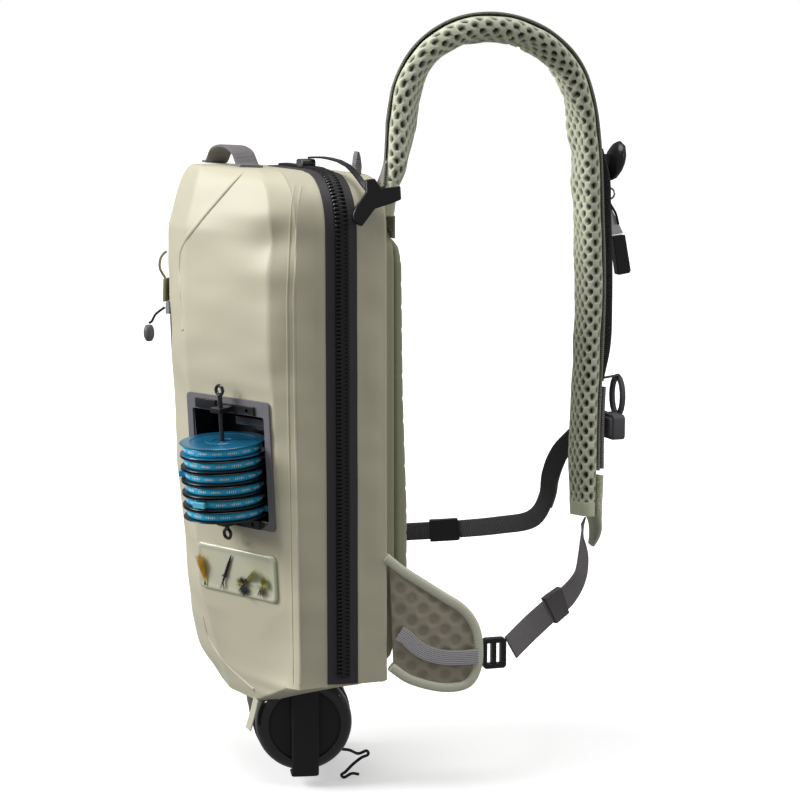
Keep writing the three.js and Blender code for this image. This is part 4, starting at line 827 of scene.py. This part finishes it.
# Retractor and nipper: a moulded reel case clipped to the tool webbing, with a steel ring and a short cord that
# holds the line nipper, whose jaws are steel and whose handle is moulded.
metal = look("bright_metal", (226, 227, 231), 0.34, metal=0.7, uneven=0.1, patch=160.0, grain=900.0, relief=0.05)
softened("reel_case", "retractor_case", black_plastic, 0.8)
softened("reel_ring", "retractor_ring", metal, 0.2)
softened("nipper_jaws", "nipper_blades", metal, 0.5)
softened("nipper_handle", "nipper_grip", black_plastic, 1.2)


def ends_of(node):
    """Two opposite corners of a CAD node's box, in bag-frame millimetres."""
    return ((np.array(end) - bag_origin) * 1000 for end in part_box(node))


ring_low, ring_high = ends_of("retractor_ring")
ring_centre = (ring_low + ring_high) / 2
short_cord_radius = 1.1
ring_at = np.array([ring_centre[0], ring_centre[1], ring_low[2] + 5.8])
nipper_top = ring_at + [0, 1, -14.8]
tube("nipper_short_cord", [ring_at + [0, 0, -7.2], ring_at + [2.6, 0.8, -10.8], nipper_top + [4.2, 3, -2],
                           nipper_top + [4.2, 6, -12]], short_cord_radius, cord_cloth, ["nipper_cord"])

# Waist webbing: woven nylon, 17 mm wide, from the back board round the waist to the buckle's plug. Its end is
# folded back on it and held by a moulded slider.
waist_width = 17.0
plug_low, plug_high = ends_of("buckle_plug")
plug_end = np.array([plug_low[0] - clearance - webbing_thickness / 2, (plug_low[1] + plug_high[1]) / 2 + 0.6,
                     (plug_low[2] + plug_high[2]) / 2])
waist_spots = [
    (-0.9, 0.0545, 0.2, (0, -1, 0)), (-0.955, 0.068, 0.2, (-0.3, -1, 0)), (-1.02, 0.115, 0.2, (-0.8, -0.6, 0)),
    (-1.1, 0.24, 0.199, (-1, 0.35, 0)), (-1.165, 0.42, 0.199, (-1, 0, 0)), (-1.14, 0.6, 0.2, (-1, 0.35, 0)),
    (-1.0, 0.785, 0.206, (-1, 1, 0)), (-0.68, 0.93, 0.227, (-0.35, 1, 0.1)), (-0.32, 0.995, 0.258, (0, 1, 0.3)),
    (-0.04, 0.98, 0.316, (-0.3, 1, 0.3)), (0.08, 0.965, 0.37, (-0.7, 1, 0.2)), (0.17, 0.985, 0.42, (-1, 0.7, 0.2)),
]
waist_rows = [(on_wearer(*spot[:3]), np.array(spot[3], float), 1.0, 1.0) for spot in waist_spots]
waist_rows += [(plug_end + [-3, -6, -8], np.array([-1, 0.3, 0.3]), 1.0, 1.0),
               (plug_end, np.array([-1, 0.15, 0.1]), 1.0, 1.0)]
webbing("waist_strip", waist_rows, waist_width, webbing_thickness, dark_webbing, ["waist_webbing"])
webbing("waist_strip_end", beside(waist_rows, 8.8, 12.6, 2.5, 8), waist_width, webbing_thickness, grey_webbing,
        ["waist_webbing_end"])
softened("waist_slider_body", "waist_slider", black_plastic, 0.5)

# Hip wing: thin foam in a spacer mesh with large soft dimples, darkened by painted shade, sewn into the bag's rear
# edge. A cloth binding
# runs round its edge, and a band of ribbed elastic lies across it.
wing_length, wing_height, wing_thickness, wing_low = 82.0, 124.0, 9.0, 0.028 * bag_height
wing_root = np.array([bag_width / 2 - 2.5, 1.1, 0])
wing_axes = np.array([unit(np.array([0.132, 0.991, 0])), [0, 0, 0], [0, 0, 1]])
wing_axes[1] = np.cross(wing_axes[2], wing_axes[0])
wing_edge = np.array([
    (0, 0.175), (0.17, 0.09), (0.39, 0.03), (0.6, 0), (0.78, 0.005), (0.88, 0.035), (0.95, 0.095), (0.99, 0.18),
    (1, 0.27), (0.988, 0.37), (0.95, 0.46), (0.88, 0.54), (0.78, 0.61), (0.6, 0.69), (0.39, 0.785), (0.17, 0.885),
    (0, 0.98),
]) * [wing_length, wing_height] + [0, wing_low]


def on_wing(points):
    """Wing-frame millimetres (along, through, up) to the bag's frame."""
    return wing_root + np.asarray(points, float) @ wing_axes


edge_spots, edge_along = evenly(np.c_[wing_edge, np.zeros(len(wing_edge))], 1.3)
edge = route(np.c_[wing_edge, np.zeros(len(wing_edge))], edge_spots)[:, :2]
edge_way = unit(np.gradient(edge, axis=0))
edge_in = np.stack([-edge_way[:, 1], edge_way[:, 0]], axis=1)
binding_width = 8.0
middle_line = edge + edge_in * binding_width / 2
binding_section = rounded(20, 3)
grid = np.array([[[m[0] + n[0] * x * binding_width / 2, y * wing_thickness / 2, m[1] + n[1] * x * binding_width / 2]
                  for x, y in binding_section] for m, n in zip(middle_line, edge_in)])
make("wing_binding_tape", on_wing(grid), lattice(len(grid), 20), binding_cloth, ["wing_binding"],
     marks={"along": np.repeat(edge_along, 20)})
inner_edge = edge + edge_in * 7.4
inner_edge[:, 0] = np.maximum(inner_edge[:, 0], 0.8)
pad_middle = np.array([0.38 * wing_length, wing_low + 0.42 * wing_height])
root_line = np.linspace(inner_edge[-1], inner_edge[0], 50)[1:-1]
pad_edge = np.vstack([inner_edge, root_line])
shares = np.linspace(0.01, 1, 50)
puff = 2.0 + 2.4 * (1 - shares ** 3)
flat_grid = pad_middle + (pad_edge[None] - pad_middle) * shares[:, None, None]
spot_pitch, spot_depth = 19.0, 0.9
spot_u, spot_v = flat_grid[:, :, 0] / spot_pitch, flat_grid[:, :, 1] / spot_pitch
spot_gap = np.full(spot_u.shape, 9.0)
for shift in (0, 0.5):
    spot_gap = np.minimum(spot_gap, np.hypot(spot_u - shift - np.round(spot_u - shift),
                                             spot_v - shift - np.round(spot_v - shift)))
spot = np.clip((0.33 - spot_gap) / 0.17, 0, 1)
sides = []
for sign in (-1, 1):
    deep = sign * (puff[:, None] - spot_depth * spot)
    sides.append(np.stack([flat_grid[:, :, 0], deep, flat_grid[:, :, 1]], axis=-1))
rings = np.concatenate([sides[0], sides[1][::-1]])
# The dimples are coloured darker than the mesh round them: painted shade in the dimples.
wing_mesh = marked(look("wing_mesh_cloth", (176, 168, 148), 0.85, grain=1600.0, relief=0.7, sheen=0.3), "hole",
                   (158, 151, 132))
wing_cushion = make("wing_pad_mesh", on_wing(rings), lattice(len(rings), len(pad_edge)), wing_mesh,
                    ["wing_pad"], marks={"hole": np.concatenate([spot, spot[::-1]])}, crease=60)
band_rows = []
for along_share, high in ((0.1, 0.44), (0.17, 0.41), (0.24, 0.36), (0.36, 0.3), (0.55, 0.255), (0.75, 0.242),
                          (0.93, 0.243)):
    band_rows.append((on_wing([along_share * wing_length, -wing_thickness / 2 - 0.7, wing_low + high * wing_height]),
                      -wing_axes[1], 1.0, 1.0))
elastic_width, elastic_thickness = 13.0, 1.2
elastic = ribbed(look("elastic", (196, 193, 196), 0.5, grain=900.0), "across", 1.6)
webbing("wing_elastic_band", band_rows, elastic_width, elastic_thickness, elastic, ["wing_elastic"])

# Lower webbing: woven nylon, 22 mm wide, from under the strap's end back to the ladder lock at the wing's tip.
# A moulded keeper slides on it, and the lock is moulded with two bars that the webbing is laced round.
lower_width = 22.0
strap_end = strap[-1][0]
wing_tip = wing_root + wing_axes[0] * wing_length
wing_tip[2] = 0.103 * bag_height
lock_at = wing_tip + [-1, 10.7, -3.5]
lower_rows = [(strap_end + [4, -0.6, -4.3], np.array([0.3, 1, 0]), 1.0, 1.0)]
for across_share, out_share, up_share, way in (
        (0.75, 0.922, 0.283, (0.6, 1, 0)), (0.79, 0.915, 0.243, (1, 0.75, -0.1)),
        (0.835, 0.887, 0.208, (1, 0.5, -0.2)), (0.88, 0.82, 0.178, (1, 0.2, -0.1)),
        (0.93, 0.73, 0.158, (1, 0, 0)), (0.97, 0.625, 0.128, (1, -0.1, 0))):
    lower_rows.append((on_wearer(across_share, out_share, up_share), np.array(way, float), 1.0, 1.0))
lower_rows.append((lock_at + [-0.5, 15.8, 2.7], np.array([1, -0.1, 0]), 1.0, 1.0))
webbing("lower_strip", lower_rows, lower_width, webbing_thickness, grey_webbing, ["lower_webbing"])
softened("keeper_body", "webbing_keeper", look("keeper_grey", (88, 84, 84), 0.55, grain=1100.0), 0.5)
softened("ladder_lock_body", "ladder_lock", black_plastic, 0.8)

# Grab handle and loop: woven nylon webbing, 20 mm wide, sewn flat to the bag's top at both ends and standing up
# between them. The small loop behind it is a short stub of the same webbing, folded.
handle_width, handle_thickness, handle_rise = 20.0, 2.4, 15.0
loop_width, loop_thickness, loop_height = 18.0, 5.0, 18.0
handle_y = -0.61 * bag_depth
handle_top = bag_height - top_fall * (1 + handle_y / (crowns[-1] * bag_depth)) + 1.9
handle_rows = [(np.array([across_share * bag_width / 2, handle_y, handle_top + rise * handle_rise]),
                np.array([0, 0.05, 1]), 1.0, 1.0)
               for across_share, rise in ((-0.58, 0), (-0.5, 0.04), (-0.38, 0.72), (-0.15, 1), (0.08, 0.72),
                                          (0.2, 0.04), (0.28, 0))]
webbing("handle_webbing", handle_rows, handle_width, handle_thickness, grey_webbing, ["grab_handle"],
        pitch=1.5)
loop_base = np.array([0.568 * bag_width / 2, -6,
                      bag_height - top_fall * (1 - 6 / (crowns[-1] * bag_depth)) + clearance])
loop_rows = [(loop_base + [0, 0, up * loop_height], np.array([0.2, 1, 0]), 1.0, thick)
             for up, thick in ((0, 1), (0.35, 1.25), (0.8, 0.8), (1, 0.3))]
webbing("top_loop_webbing", loop_rows, loop_width, loop_thickness, grey_webbing, ["top_loop"],
        pitch=1.2)

# Line spools: six moulded grooved discs of leader line that turn on the holder's rod, the first one blue.
# A stretch band of coloured rubber lies in each groove and holds the line's end, with a tab to pull it by and
# plain pale ticks printed round it.
rod_x, rod_out, first_spool, spool_pitch, spool_count = 2.0, 11.0, 15.0, 10.6, 6
spool_radius, groove_radius, half_spool, bore_radius = 35.4, 29.6, 4.9, 2.3
tick_groups, ticks_in_group, half_tick = 15, 5, 0.014
disc_face = look("spool_disc", (34, 112, 150), 0.3, uneven=0.5, patch=60.0, grain=700.0, relief=0.1, coat=0.4)


def lathe(name, profile, sides, material, nodes, at, axis, body="bag", wobble=0.0, marks=None, crease=38):
    """A turned piece from rows of (radius, height) that start and end on the axis or close on themselves."""
    axis = unit(np.asarray(axis, float))
    first = unit(np.cross(axis, [0, 0, 1]) if abs(axis[2]) < 0.9 else np.cross(axis, [0, 1, 0]))
    second = np.cross(axis, first)
    angles = np.linspace(0, 2 * math.pi, sides, endpoint=False)
    rows = []
    for radius, height in profile:
        radii = np.full(sides, radius)
        if wobble and radius > 1:
            uneven = [noise.noise(Vector((math.cos(a) * 1.3, math.sin(a) * 1.3, height * 0.11))) for a in angles]
            radii = radii + wobble * np.array(uneven)
        rows.append(at + np.outer(radii * np.cos(angles), first) + np.outer(radii * np.sin(angles), second)
                    + axis * height)
    points = np.array(rows)
    solid = profile[0][0] < 0.02
    faces = lattice(len(profile), sides, capped=solid)
    if not solid:
        last = (len(profile) - 1) * sides
        faces += [[last + j, last + (j + 1) % sides, (j + 1) % sides, j] for j in range(sides)]
    return make(name, points, faces, material, nodes, body, marks, crease)


tab_turns = [100, 60, 220, 140, 280, 40]
rod_axis = zone_up
turn_x, turn_y = zone_axes[0], zone_axes[1]
flange = [(bore_radius, -half_spool), (33.6, -half_spool), (35.0, -4.7), (spool_radius, -4.35), (35.2, -3.95),
          (34.0, -3.7), (groove_radius, -3.2), (groove_radius, 3.2), (34.0, 3.7), (35.2, 3.95), (spool_radius, 4.35),
          (35.0, 4.7), (33.6, half_spool), (27.0, half_spool), (26.6, 4.5), (14.0, 4.5), (13.6, half_spool),
          (8.0, half_spool), (7.4, 4.3), (bore_radius, 4.3)]
band_ring = [(29.9, -3.0), (31.6, -2.9), (32.3, -1.8), (32.6, 0), (32.3, 1.8), (31.6, 2.9), (29.9, 3.0)]
band_blue = look("band_rubber", (44, 200, 255), 0.25, uneven=0.05, grain=800.0, relief=0.1)
tab_pale = look("band_tab", (96, 200, 232), 0.4, grain=700.0)
pale_mark = look("pale_mark", (236, 244, 248), 0.5)
for i in range(spool_count):
    middle = on_front([rod_x, -rod_out, first_spool - i * spool_pitch])
    body = "line_spool_%d" % (i + 1)
    lathe("spool_disc_%d" % (i + 1), flange, 72, disc_face if i == 0 else black_plastic,
          ["spool_%d" % (i + 1)], middle, rod_axis, body, crease=30)
    lathe("spool_band_%d" % (i + 1), band_ring, 72, band_blue, ["band_%d" % (i + 1)], middle, rod_axis,
          body)
    points, faces = [], []
    turn = math.radians(tab_turns[i])

    def on_disc(angle, radius, height):
        """A place on this spool, by its angle, radius and height on the rod."""
        return middle + (turn_x * math.cos(angle) + turn_y * math.sin(angle)) * radius + rod_axis * height

    def block(angle, half_angle, inner, outer, low, high):
        """Adds a small block that stands on the band."""
        base = len(points)
        for high_end in (low, high):
            for a, r in ((angle - half_angle, inner), (angle - half_angle, outer), (angle + half_angle, outer),
                         (angle + half_angle, inner)):
                points.append(on_disc(a, r, high_end))
        for face in ((3, 2, 1, 0), (4, 5, 6, 7), (0, 1, 5, 4), (1, 2, 6, 5), (2, 3, 7, 6), (3, 0, 4, 7)):
            faces.append([base + k for k in face])

    block(turn, 0.16, 31.5, 37.4, -2.5, 2.5)
    tab = make("spool_tab_%d" % (i + 1), points, faces, tab_pale if i == 4 else band_blue, body=body)
    soft = tab.modifiers.new("edges", "BEVEL")
    soft.width, soft.segments = 0.0006, 3
    points, faces = [], []
    for group in range(tick_groups):
        for tick in range(ticks_in_group):
            angle = turn + 0.42 + group * 0.39 + tick * 0.052
            tall = 1.0 if tick % 2 else 0.7
            block(angle, half_tick, 32.2, 32.68, -tall, tall)
    make("spool_ticks_%d" % (i + 1), points, faces, pale_mark, body=body)

# Spool holder: a stiff moulded frame welded round the window, with two black rod brackets and a clip on its face.
# A moulded tray is set in behind it, and a glossy rod with an eye at each end carries the spools.
holder_face = -clearance - 1.5
holder_grey = look("holder_grey", (122, 120, 126), 0.5, grain=1100.0, relief=0.3)
rod_gloss = look("rod_gloss", (26, 26, 28), 0.16, grain=600.0, relief=0.05, coat=0.7)
softened("holder_frame", "spool_frame", holder_grey, 0.4,
         extra=(black_plastic, lambda spot: ((spot - zone_centre) @ zone_axes.T)[1] < holder_face - 0.12))
softened("holder_tray", "spool_tray", black_plastic, 0.8)
softened("holder_rod", "spool_rod", rod_gloss, 0.6)

# Fly patch: a pocket of clear film, welded to the bag's front round its edge, which stands up in a low rim.
# The flies are kept in it.
patch_width, patch_height, patch_low = 94.0, 40.0, -0.211 * bag_height
film_rows = []
for inset, deep in ((0, -clearance), (0, -1.2), (0.5, -2.0), (1.6, -2.5), (3.2, -2.4), (4.4, -1.9), (6.5, -1.8),
                    (14, -2.0)):
    ring = []
    corner = max(5 - inset * 0.6, 1.5)
    for cx, cz, start in ((1, 1, 0), (-1, 1, 90), (-1, -1, 180), (1, -1, 270)):
        for step in range(10):
            angle = math.radians(start + step * 10)
            ring.append([cx * (patch_width / 2 - inset - corner) + corner * math.cos(angle), deep,
                         patch_low + cz * (patch_height / 2 - inset - corner) + corner * math.sin(angle)])
    film_rows.append(ring)
film = on_front(np.array(film_rows))
clear_film = look("patch_film", (214, 214, 188), 0.22, grain=300.0, relief=0.15, coat=0.6)
make("fly_patch_film", film, lattice(len(film_rows), 40), clear_film, ["fly_patch"])

# Flies: hooks dressed with thread, feather and dyed hair. Each has its head and tail as shares of the patch, its
# girth and its body's colour, then tufts of fibres (place along it, way out, length, spread, count, colour).
fibre_radius = 0.24
flies = [
    ("fly_yellow", (-0.40, -0.36), (-0.45, 0.2), 1.0, "yellow",
     [(0.08, 93, 21, 9, 150, "yellow"), (0.4, 95, 17, 13, 110, "pale"), (0.02, -90, 3, 14, 30, "black")]),
    ("fly_nymph", (-0.17, -0.30), (-0.04, 0.36), 1.25, "black",
     [(0.05, -108, 8, 4, 5, "black"), (0.05, -76, 8, 4, 5, "black"), (0.3, 180, 4, 20, 8, "black"),
      (0.3, 0, 4, 20, 8, "black")]),
    ("fly_hackle", (0.10, -0.26), (0.18, -0.02), 1.2, "black",
     [(0.1, -95, 9, 55, 150, "black"), (0.1, 90, 9, 65, 90, "brown"), (0.5, 36, 21, 9, 120, "olive"),
      (0.1, 150, 9, 26, 50, "olive")]),
    ("fly_olive", (0.32, -0.24), (0.38, -0.02), 1.0, "olive",
     [(0.2, -80, 8, 60, 80, "brown"), (0.3, 60, 11, 24, 70, "olive"), (0.4, 10, 9, 30, 50, "olive")]),
]


def fibre(points, faces, start, end, thick, sag=0.0):
    """One feather or hair fibre: a thin three-sided taper."""
    way = unit(end - start)
    side = unit(np.cross(way, [0.3, 0.9, 0.2]))
    other = np.cross(way, side)
    base = len(points)
    for share, size in ((0, 1.0), (0.5, 0.8), (1, 0.25)):
        middle = start + (end - start) * share + [0, 0, -sag * share * share]
        for k in range(3):
            angle = 2 * math.pi * k / 3
            points.append(middle + (side * math.cos(angle) + other * math.sin(angle)) * thick * size)
    for row in range(2):
        for k in range(3):
            a, b = base + row * 3 + k, base + row * 3 + (k + 1) % 3
            faces.append([a, b, b + 3, a + 3])
    faces.append([base + 2, base + 1, base])
    faces.append([base + 6, base + 7, base + 8])


chance = np.random.default_rng(12)
fly_colours = {
    "yellow": look("yellow_feather", (255, 196, 44), 0.8, uneven=0.2, patch=300.0, sheen=0.4),
    "pale": look("pale_feather", (255, 214, 140), 0.8, uneven=0.2, patch=300.0, sheen=0.4),
    "black": look("black_feather", (28, 25, 22), 0.8, uneven=0.3, patch=300.0, sheen=0.3),
    "olive": look("olive_feather", (168, 166, 78), 0.8, uneven=0.25, patch=300.0, sheen=0.4),
    "brown": look("brown_feather", (98, 84, 52), 0.8, uneven=0.3, patch=300.0, sheen=0.4),
}
for name, head, tail, girth, colour, tufts in flies:
    head_at, tail_at = (on_front([spot[0] * patch_width, -2.4 - off, patch_low + spot[1] * patch_height])
                        for spot, off in ((head, girth), (tail, 0.6)))
    long = np.linalg.norm(tail_at - head_at)
    profile = [(0.01, 0)]
    for t in np.linspace(0.02, 0.98, 40):
        ribs = 1 + 0.16 * math.sin(t * 60)
        profile.append((girth * math.sin(math.pi * min(t * 0.9 + 0.08, 1)) ** 0.6 * ribs, t * long))
    profile.append((0.01, long))
    lathe(name, profile, 14, fly_colours[colour], (), head_at, tail_at - head_at)
    groups = {}
    for share, angle, length, spread, count, tint in tufts:
        points, faces = groups.setdefault(tint, ([], []))
        start = head_at + (tail_at - head_at) * share
        for _ in range(count):
            lean = math.radians(angle + chance.normal(0, spread * 0.6))
            reach = length * chance.uniform(0.55, 1.0)
            way = (zone_axes[0] * math.cos(lean) + zone_axes[2] * math.sin(lean)
                   - zone_axes[1] * chance.uniform(0.02, 0.3))
            begin = start + zone_axes[0] * chance.normal(0, 0.4)
            fibre(points, faces, begin, begin + way * reach, fibre_radius, sag=chance.uniform(0, 1))
    for tint, (points, faces) in groups.items():
        make("%s_%s_fibres" % (name, tint), points, faces, fly_colours[tint])

# Side pocket: a slit beyond the front's far fold, closed by a small coated zip. Its metal slider has a cord pull
# with a moulded toggle, and a folded cloth tab beside it holds a loop of cord.
softened("pocket_zip_tape", "pocket_zip", tape, 0.2)
softened("pocket_zip_slider", "pocket_slider", metal, 0.8)
loop_olive = look("loop_olive", (150, 144, 112), 0.7, grain=1200.0, relief=0.4)
softened("pocket_loop", "pocket_flap", loop_olive, 0.5)


def on_pocket_side(up, off, aside):
    """A place on the panel beyond the far fold, and the way out there."""
    part = min((up - zone_low[0]) / (zone_high[0] - zone_low[0]), 1)
    level_here = {"crown": zone_low[3] + (zone_high[3] - zone_low[3]) * part,
                  "bevel": zone_low[2] + (zone_high[2] - zone_low[2]) * part}
    corners = [np.array([folds[k][0] * bag_width / 2, -level_here[folds[k][1]] * folds[k][2] * bag_depth,
                         up * bag_height]) for k in (4, 5)]
    way = unit(corners[1] - corners[0])
    out = np.array([way[1], -way[0], 0])
    if out[1] > 0:
        out = -out
    return corners[0] + way * aside + out * off, out


slider_spot, slider_way = on_pocket_side(0.722, 4.4, 17)
toggle_at = on_pocket_side(0.674, 20, 9)[0]
cord_start = slider_spot + slider_way * 3.6
pull_points = [cord_start, cord_start + (toggle_at - cord_start) * 0.35 + [0, -3.4, 1.5],
               cord_start + (toggle_at - cord_start) * 0.7 + [0, -2, 3], toggle_at + [0, 0, 8.4]]
tube("pocket_pull_cord", pull_points, short_cord_radius, cord_cloth, ["pocket_cord"])
lathe("pocket_toggle_body", [(0.01, -7.6), (1.8, -7.5), (2.8, -6.9), (4.2, -4.4), (4.7, -2), (4.7, 1.5), (4.2, 3.8),
                             (3.2, 6.2), (2.2, 6.8), (0.01, 6.9)], 40, grey_plastic, ["pocket_toggle"],
      toggle_at, [0, 0, 1])

# Bottle under the bag: a blown drum with a flat base, in a coated stretch sleeve sewn to the bag's underside,
# with a strip of pale tape sewn down its front. The screw cap is moulded, with a matt disc and a handle band
# across it, and faces the zip side.
skew = math.radians(14)
cap_way = np.array([math.cos(skew), -math.sin(skew), 0])
bottle_axes = np.array([np.cross([0, 0, 1], cap_way), [0, 0, 1], cap_way])
cap_gloss = look("cap_gloss", (34, 34, 38), 0.22, uneven=0.1, grain=500.0, relief=0.06, coat=0.5)
cap_matt = look("cap_matt", (40, 39, 42), 0.75, uneven=0.1, grain=900.0, relief=0.4)
bottle_black = look("bottle_black", (30, 30, 33), 0.28, uneven=0.1, grain=600.0, relief=0.1, coat=0.3)
lathe("bottle_drum", [(0.01, -119.9), (36, -119.9), (39, -119.2), (40, -116.5), (40, -24.3), (0.01, -24.3)], 96,
      bottle_black, ["bottle"], cap_place, cap_way)
lathe("cap_body", [(0.01, -24), (39.5, -24), (40.7, -22.8), (41, -20), (41, -9), (40.4, -6), (39, -3.4), (36.8, -1.4),
                   (33.6, -0.3), (31.4, -0.1), (30.6, -0.5), (30.2, -1.6), (30.2, -2.2), (29, -2.2), (26, -2.2),
                   (0.01, -2.2)], 120, cap_gloss, ["bottle_cap"], cap_place, cap_way, crease=50)
lathe("cap_disc", [(0.01, -2.1), (29.8, -2.1), (29.8, -1.7), (29.2, -1.35), (24, -1.2), (0.01, -1.1)], 96, cap_matt,
      (), cap_place, cap_way)
band_spots = [
    ((0, 38, 1), (0, 0.2, 1)), ((0, 33, 2.2), (0, 0, 1)), ((0, 0, 2.2), (0, 0, 1)), ((0, -35, 2.2), (0, 0, 1)),
    ((0, -42.4, 0.6), (0, -0.8, 1)), ((0, -43.9, -6), (0, -1, 0.1)), ((0, -43.9, -16), (0, -1, 0)),
]
band_width, band_thickness = 23.0, 3.6
band_rows = [(cap_place + np.asarray(at, float) @ bottle_axes, np.asarray(way, float) @ bottle_axes, 1.0, 1.0)
             for at, way in band_spots]
webbing("cap_handle_band", band_rows, band_width, band_thickness, cap_matt, (), pitch=1.2,
        section=rounded(20, 5))
sleeve_profile = [(0.01, -122), (36, -122), (40, -121), (41.9, -118)]
sleeve_profile += [(sleeve_radius, h) for h in np.linspace(-114, -29, 30)]
sleeve_profile += [(42.3, -27.2), (42.4, -26), (41.9, -25.3), (41.0, -25.3), (40.4, -26), (40.3, -40),
                   (40.3, -119.6), (0.01, -119.95)]
sleeve_gloss = look("sleeve_gloss", (38, 38, 42), 0.3, uneven=0.15, grain=700.0, relief=0.2, coat=0.3)
lathe("sleeve_body", sleeve_profile, 144, sleeve_gloss, ["bottle_sleeve"], cap_place, cap_way,
      wobble=1.2)
softened("side_tape_strip", "side_tape", look("tape_pale", (206, 200, 180), 0.7, grain=1100.0), 0.3)

# Back: a stiff board under ribbed cloth, welded to the bag's rear face, with two foam pads on it in the same cloth.
# The pads are thicker at the waist, and sewn channels run across them.
channel_pitch, channel_depth, pad_height, lumbar_height = 19.0, 0.8, 12.0, 6.0
back_fabric = look("back_fabric", (172, 172, 144), 0.85, grain=700.0, relief=0.6, sheen=0.3)
softened("board_cover", "back_board", back_fabric, 2.0)
pad_levels = [(0, 0.8, 0.5), (0.02, 0.95, 0.85), (0.06, 1, 1), (0.3, 1, 1), (0.6, 1, 0.3), (0.94, 1, 0),
              (0.98, 0.95, -0.4), (1, 0.8, -1)]
for name, node in (("zip_side_pad", "back_pad_zip_side"), ("pocket_side_pad", "back_pad_pocket_side")):
    low, high = ends_of(node)
    middle, wide, base, tall = (low[0] + high[0]) / 2, high[0] - low[0], low[2], high[2] - low[2]
    rows_up = np.linspace(0, 1, 170)
    shape = np.array(rounded(96, 3.4))
    grid = []
    for up in rows_up:
        wide_here = np.interp(up, [r[0] for r in pad_levels], [r[1] for r in pad_levels])
        share = np.interp(up, [r[0] for r in pad_levels], [r[2] for r in pad_levels])
        thick = pad_height + share * lumbar_height
        from_seam = np.abs(np.abs((up * tall) % channel_pitch - channel_pitch / 2) - channel_pitch / 2)
        channel = channel_depth * np.exp(-(from_seam / 1.6) ** 2)
        ring = [(middle + x * wide * wide_here / 2, low[1] + (y + 1) / 2 * (thick - channel * (y > 0)),
                 base + up * tall) for x, y in shape]
        grid.append(ring)
    pad = make(name, grid, lattice(len(rows_up), 96), back_fabric, [node], crease=60)

# Light and floor: a plain studio. A big soft source stands in front and above, one hangs overhead and a weak one
# lights the rear, in an even pale surround. The floor is painted board, whose own glow only fades its far edge.
floor_material = look("floor_paint", (250, 250, 250), 0.9, uneven=0.004, grain=300.0, relief=0.02)
floor_shader = floor_material.node_tree.nodes["Principled BSDF"]
floor_shader.inputs["Emission Color"].default_value = (1, 1, 1, 1)
floor_nodes, floor_links = floor_material.node_tree.nodes, floor_material.node_tree.links
floor_place = floor_nodes.new("ShaderNodeTexCoord")
floor_reach = floor_nodes.new("ShaderNodeVectorMath")
floor_reach.operation = "LENGTH"
floor_fade = floor_nodes.new("ShaderNodeMapRange")
floor_fade.inputs["From Min"].default_value = 0.7
floor_fade.inputs["From Max"].default_value = 2.0
floor_fade.inputs["To Min"].default_value = 0.42
floor_fade.inputs["To Max"].default_value = 1.0
floor_links.new(floor_place.outputs["Object"], floor_reach.inputs[0])
floor_links.new(floor_reach.outputs["Value"], floor_fade.inputs["Value"])
floor_links.new(floor_fade.outputs["Result"], floor_shader.inputs["Emission Strength"])
floor_height = cad_low.z - 0.001
floor_mesh = bpy.data.meshes.new("floor")
floor_half = 40
floor_mesh.from_pydata([(x * floor_half, y * floor_half, floor_height)
                        for x, y in ((-1, -1), (1, -1), (1, 1), (-1, 1))], [], [(0, 1, 2, 3)])
floor_mesh.materials.append(floor_material)
floor = bpy.data.objects.new("floor", floor_mesh)
bpy.context.scene.collection.objects.link(floor)
floor.visible_diffuse = False
floor.visible_glossy = False
world = bpy.data.worlds.new("surround")
world.use_nodes = True
surround = world.node_tree.nodes["Background"]
surround.inputs["Color"].default_value = (1, 1, 1, 1)
surround.inputs["Strength"].default_value = 0.24
backdrop = world.node_tree.nodes.new("ShaderNodeBackground")
backdrop.inputs["Color"].default_value = (1, 1, 1, 1)
backdrop.inputs["Strength"].default_value = 1.0
which = world.node_tree.nodes.new("ShaderNodeLightPath")
either = world.node_tree.nodes.new("ShaderNodeMixShader")
world.node_tree.links.new(which.outputs["Is Camera Ray"], either.inputs["Fac"])
world.node_tree.links.new(surround.outputs["Background"], either.inputs[1])
world.node_tree.links.new(backdrop.outputs["Background"], either.inputs[2])
world.node_tree.links.new(either.outputs["Shader"], world.node_tree.nodes["World Output"].inputs["Surface"])
bpy.context.scene.world = world
bpy.context.scene.view_settings.view_transform = "Standard"
target = Vector(place([60, 0, 260]))
lamps = [
    ("key_light", (-0.9, -2.5, 1.3), 1.3, 70), ("top_light", (0.3, -0.2, 3.0), 1.8, 52),
    ("rim_light", (1.2, 2.6, 1.0), 1.0, 12),
]
for name, where, size, power in lamps:
    lamp = bpy.data.lights.new(name, "AREA")
    lamp.size = size
    lamp.energy = power
    holder = bpy.data.objects.new(name, lamp)
    holder.location = target + Vector(where)
    holder.rotation_euler = Vector(where).to_track_quat("Z", "Y").to_euler()
    bpy.context.scene.collection.objects.link(holder)
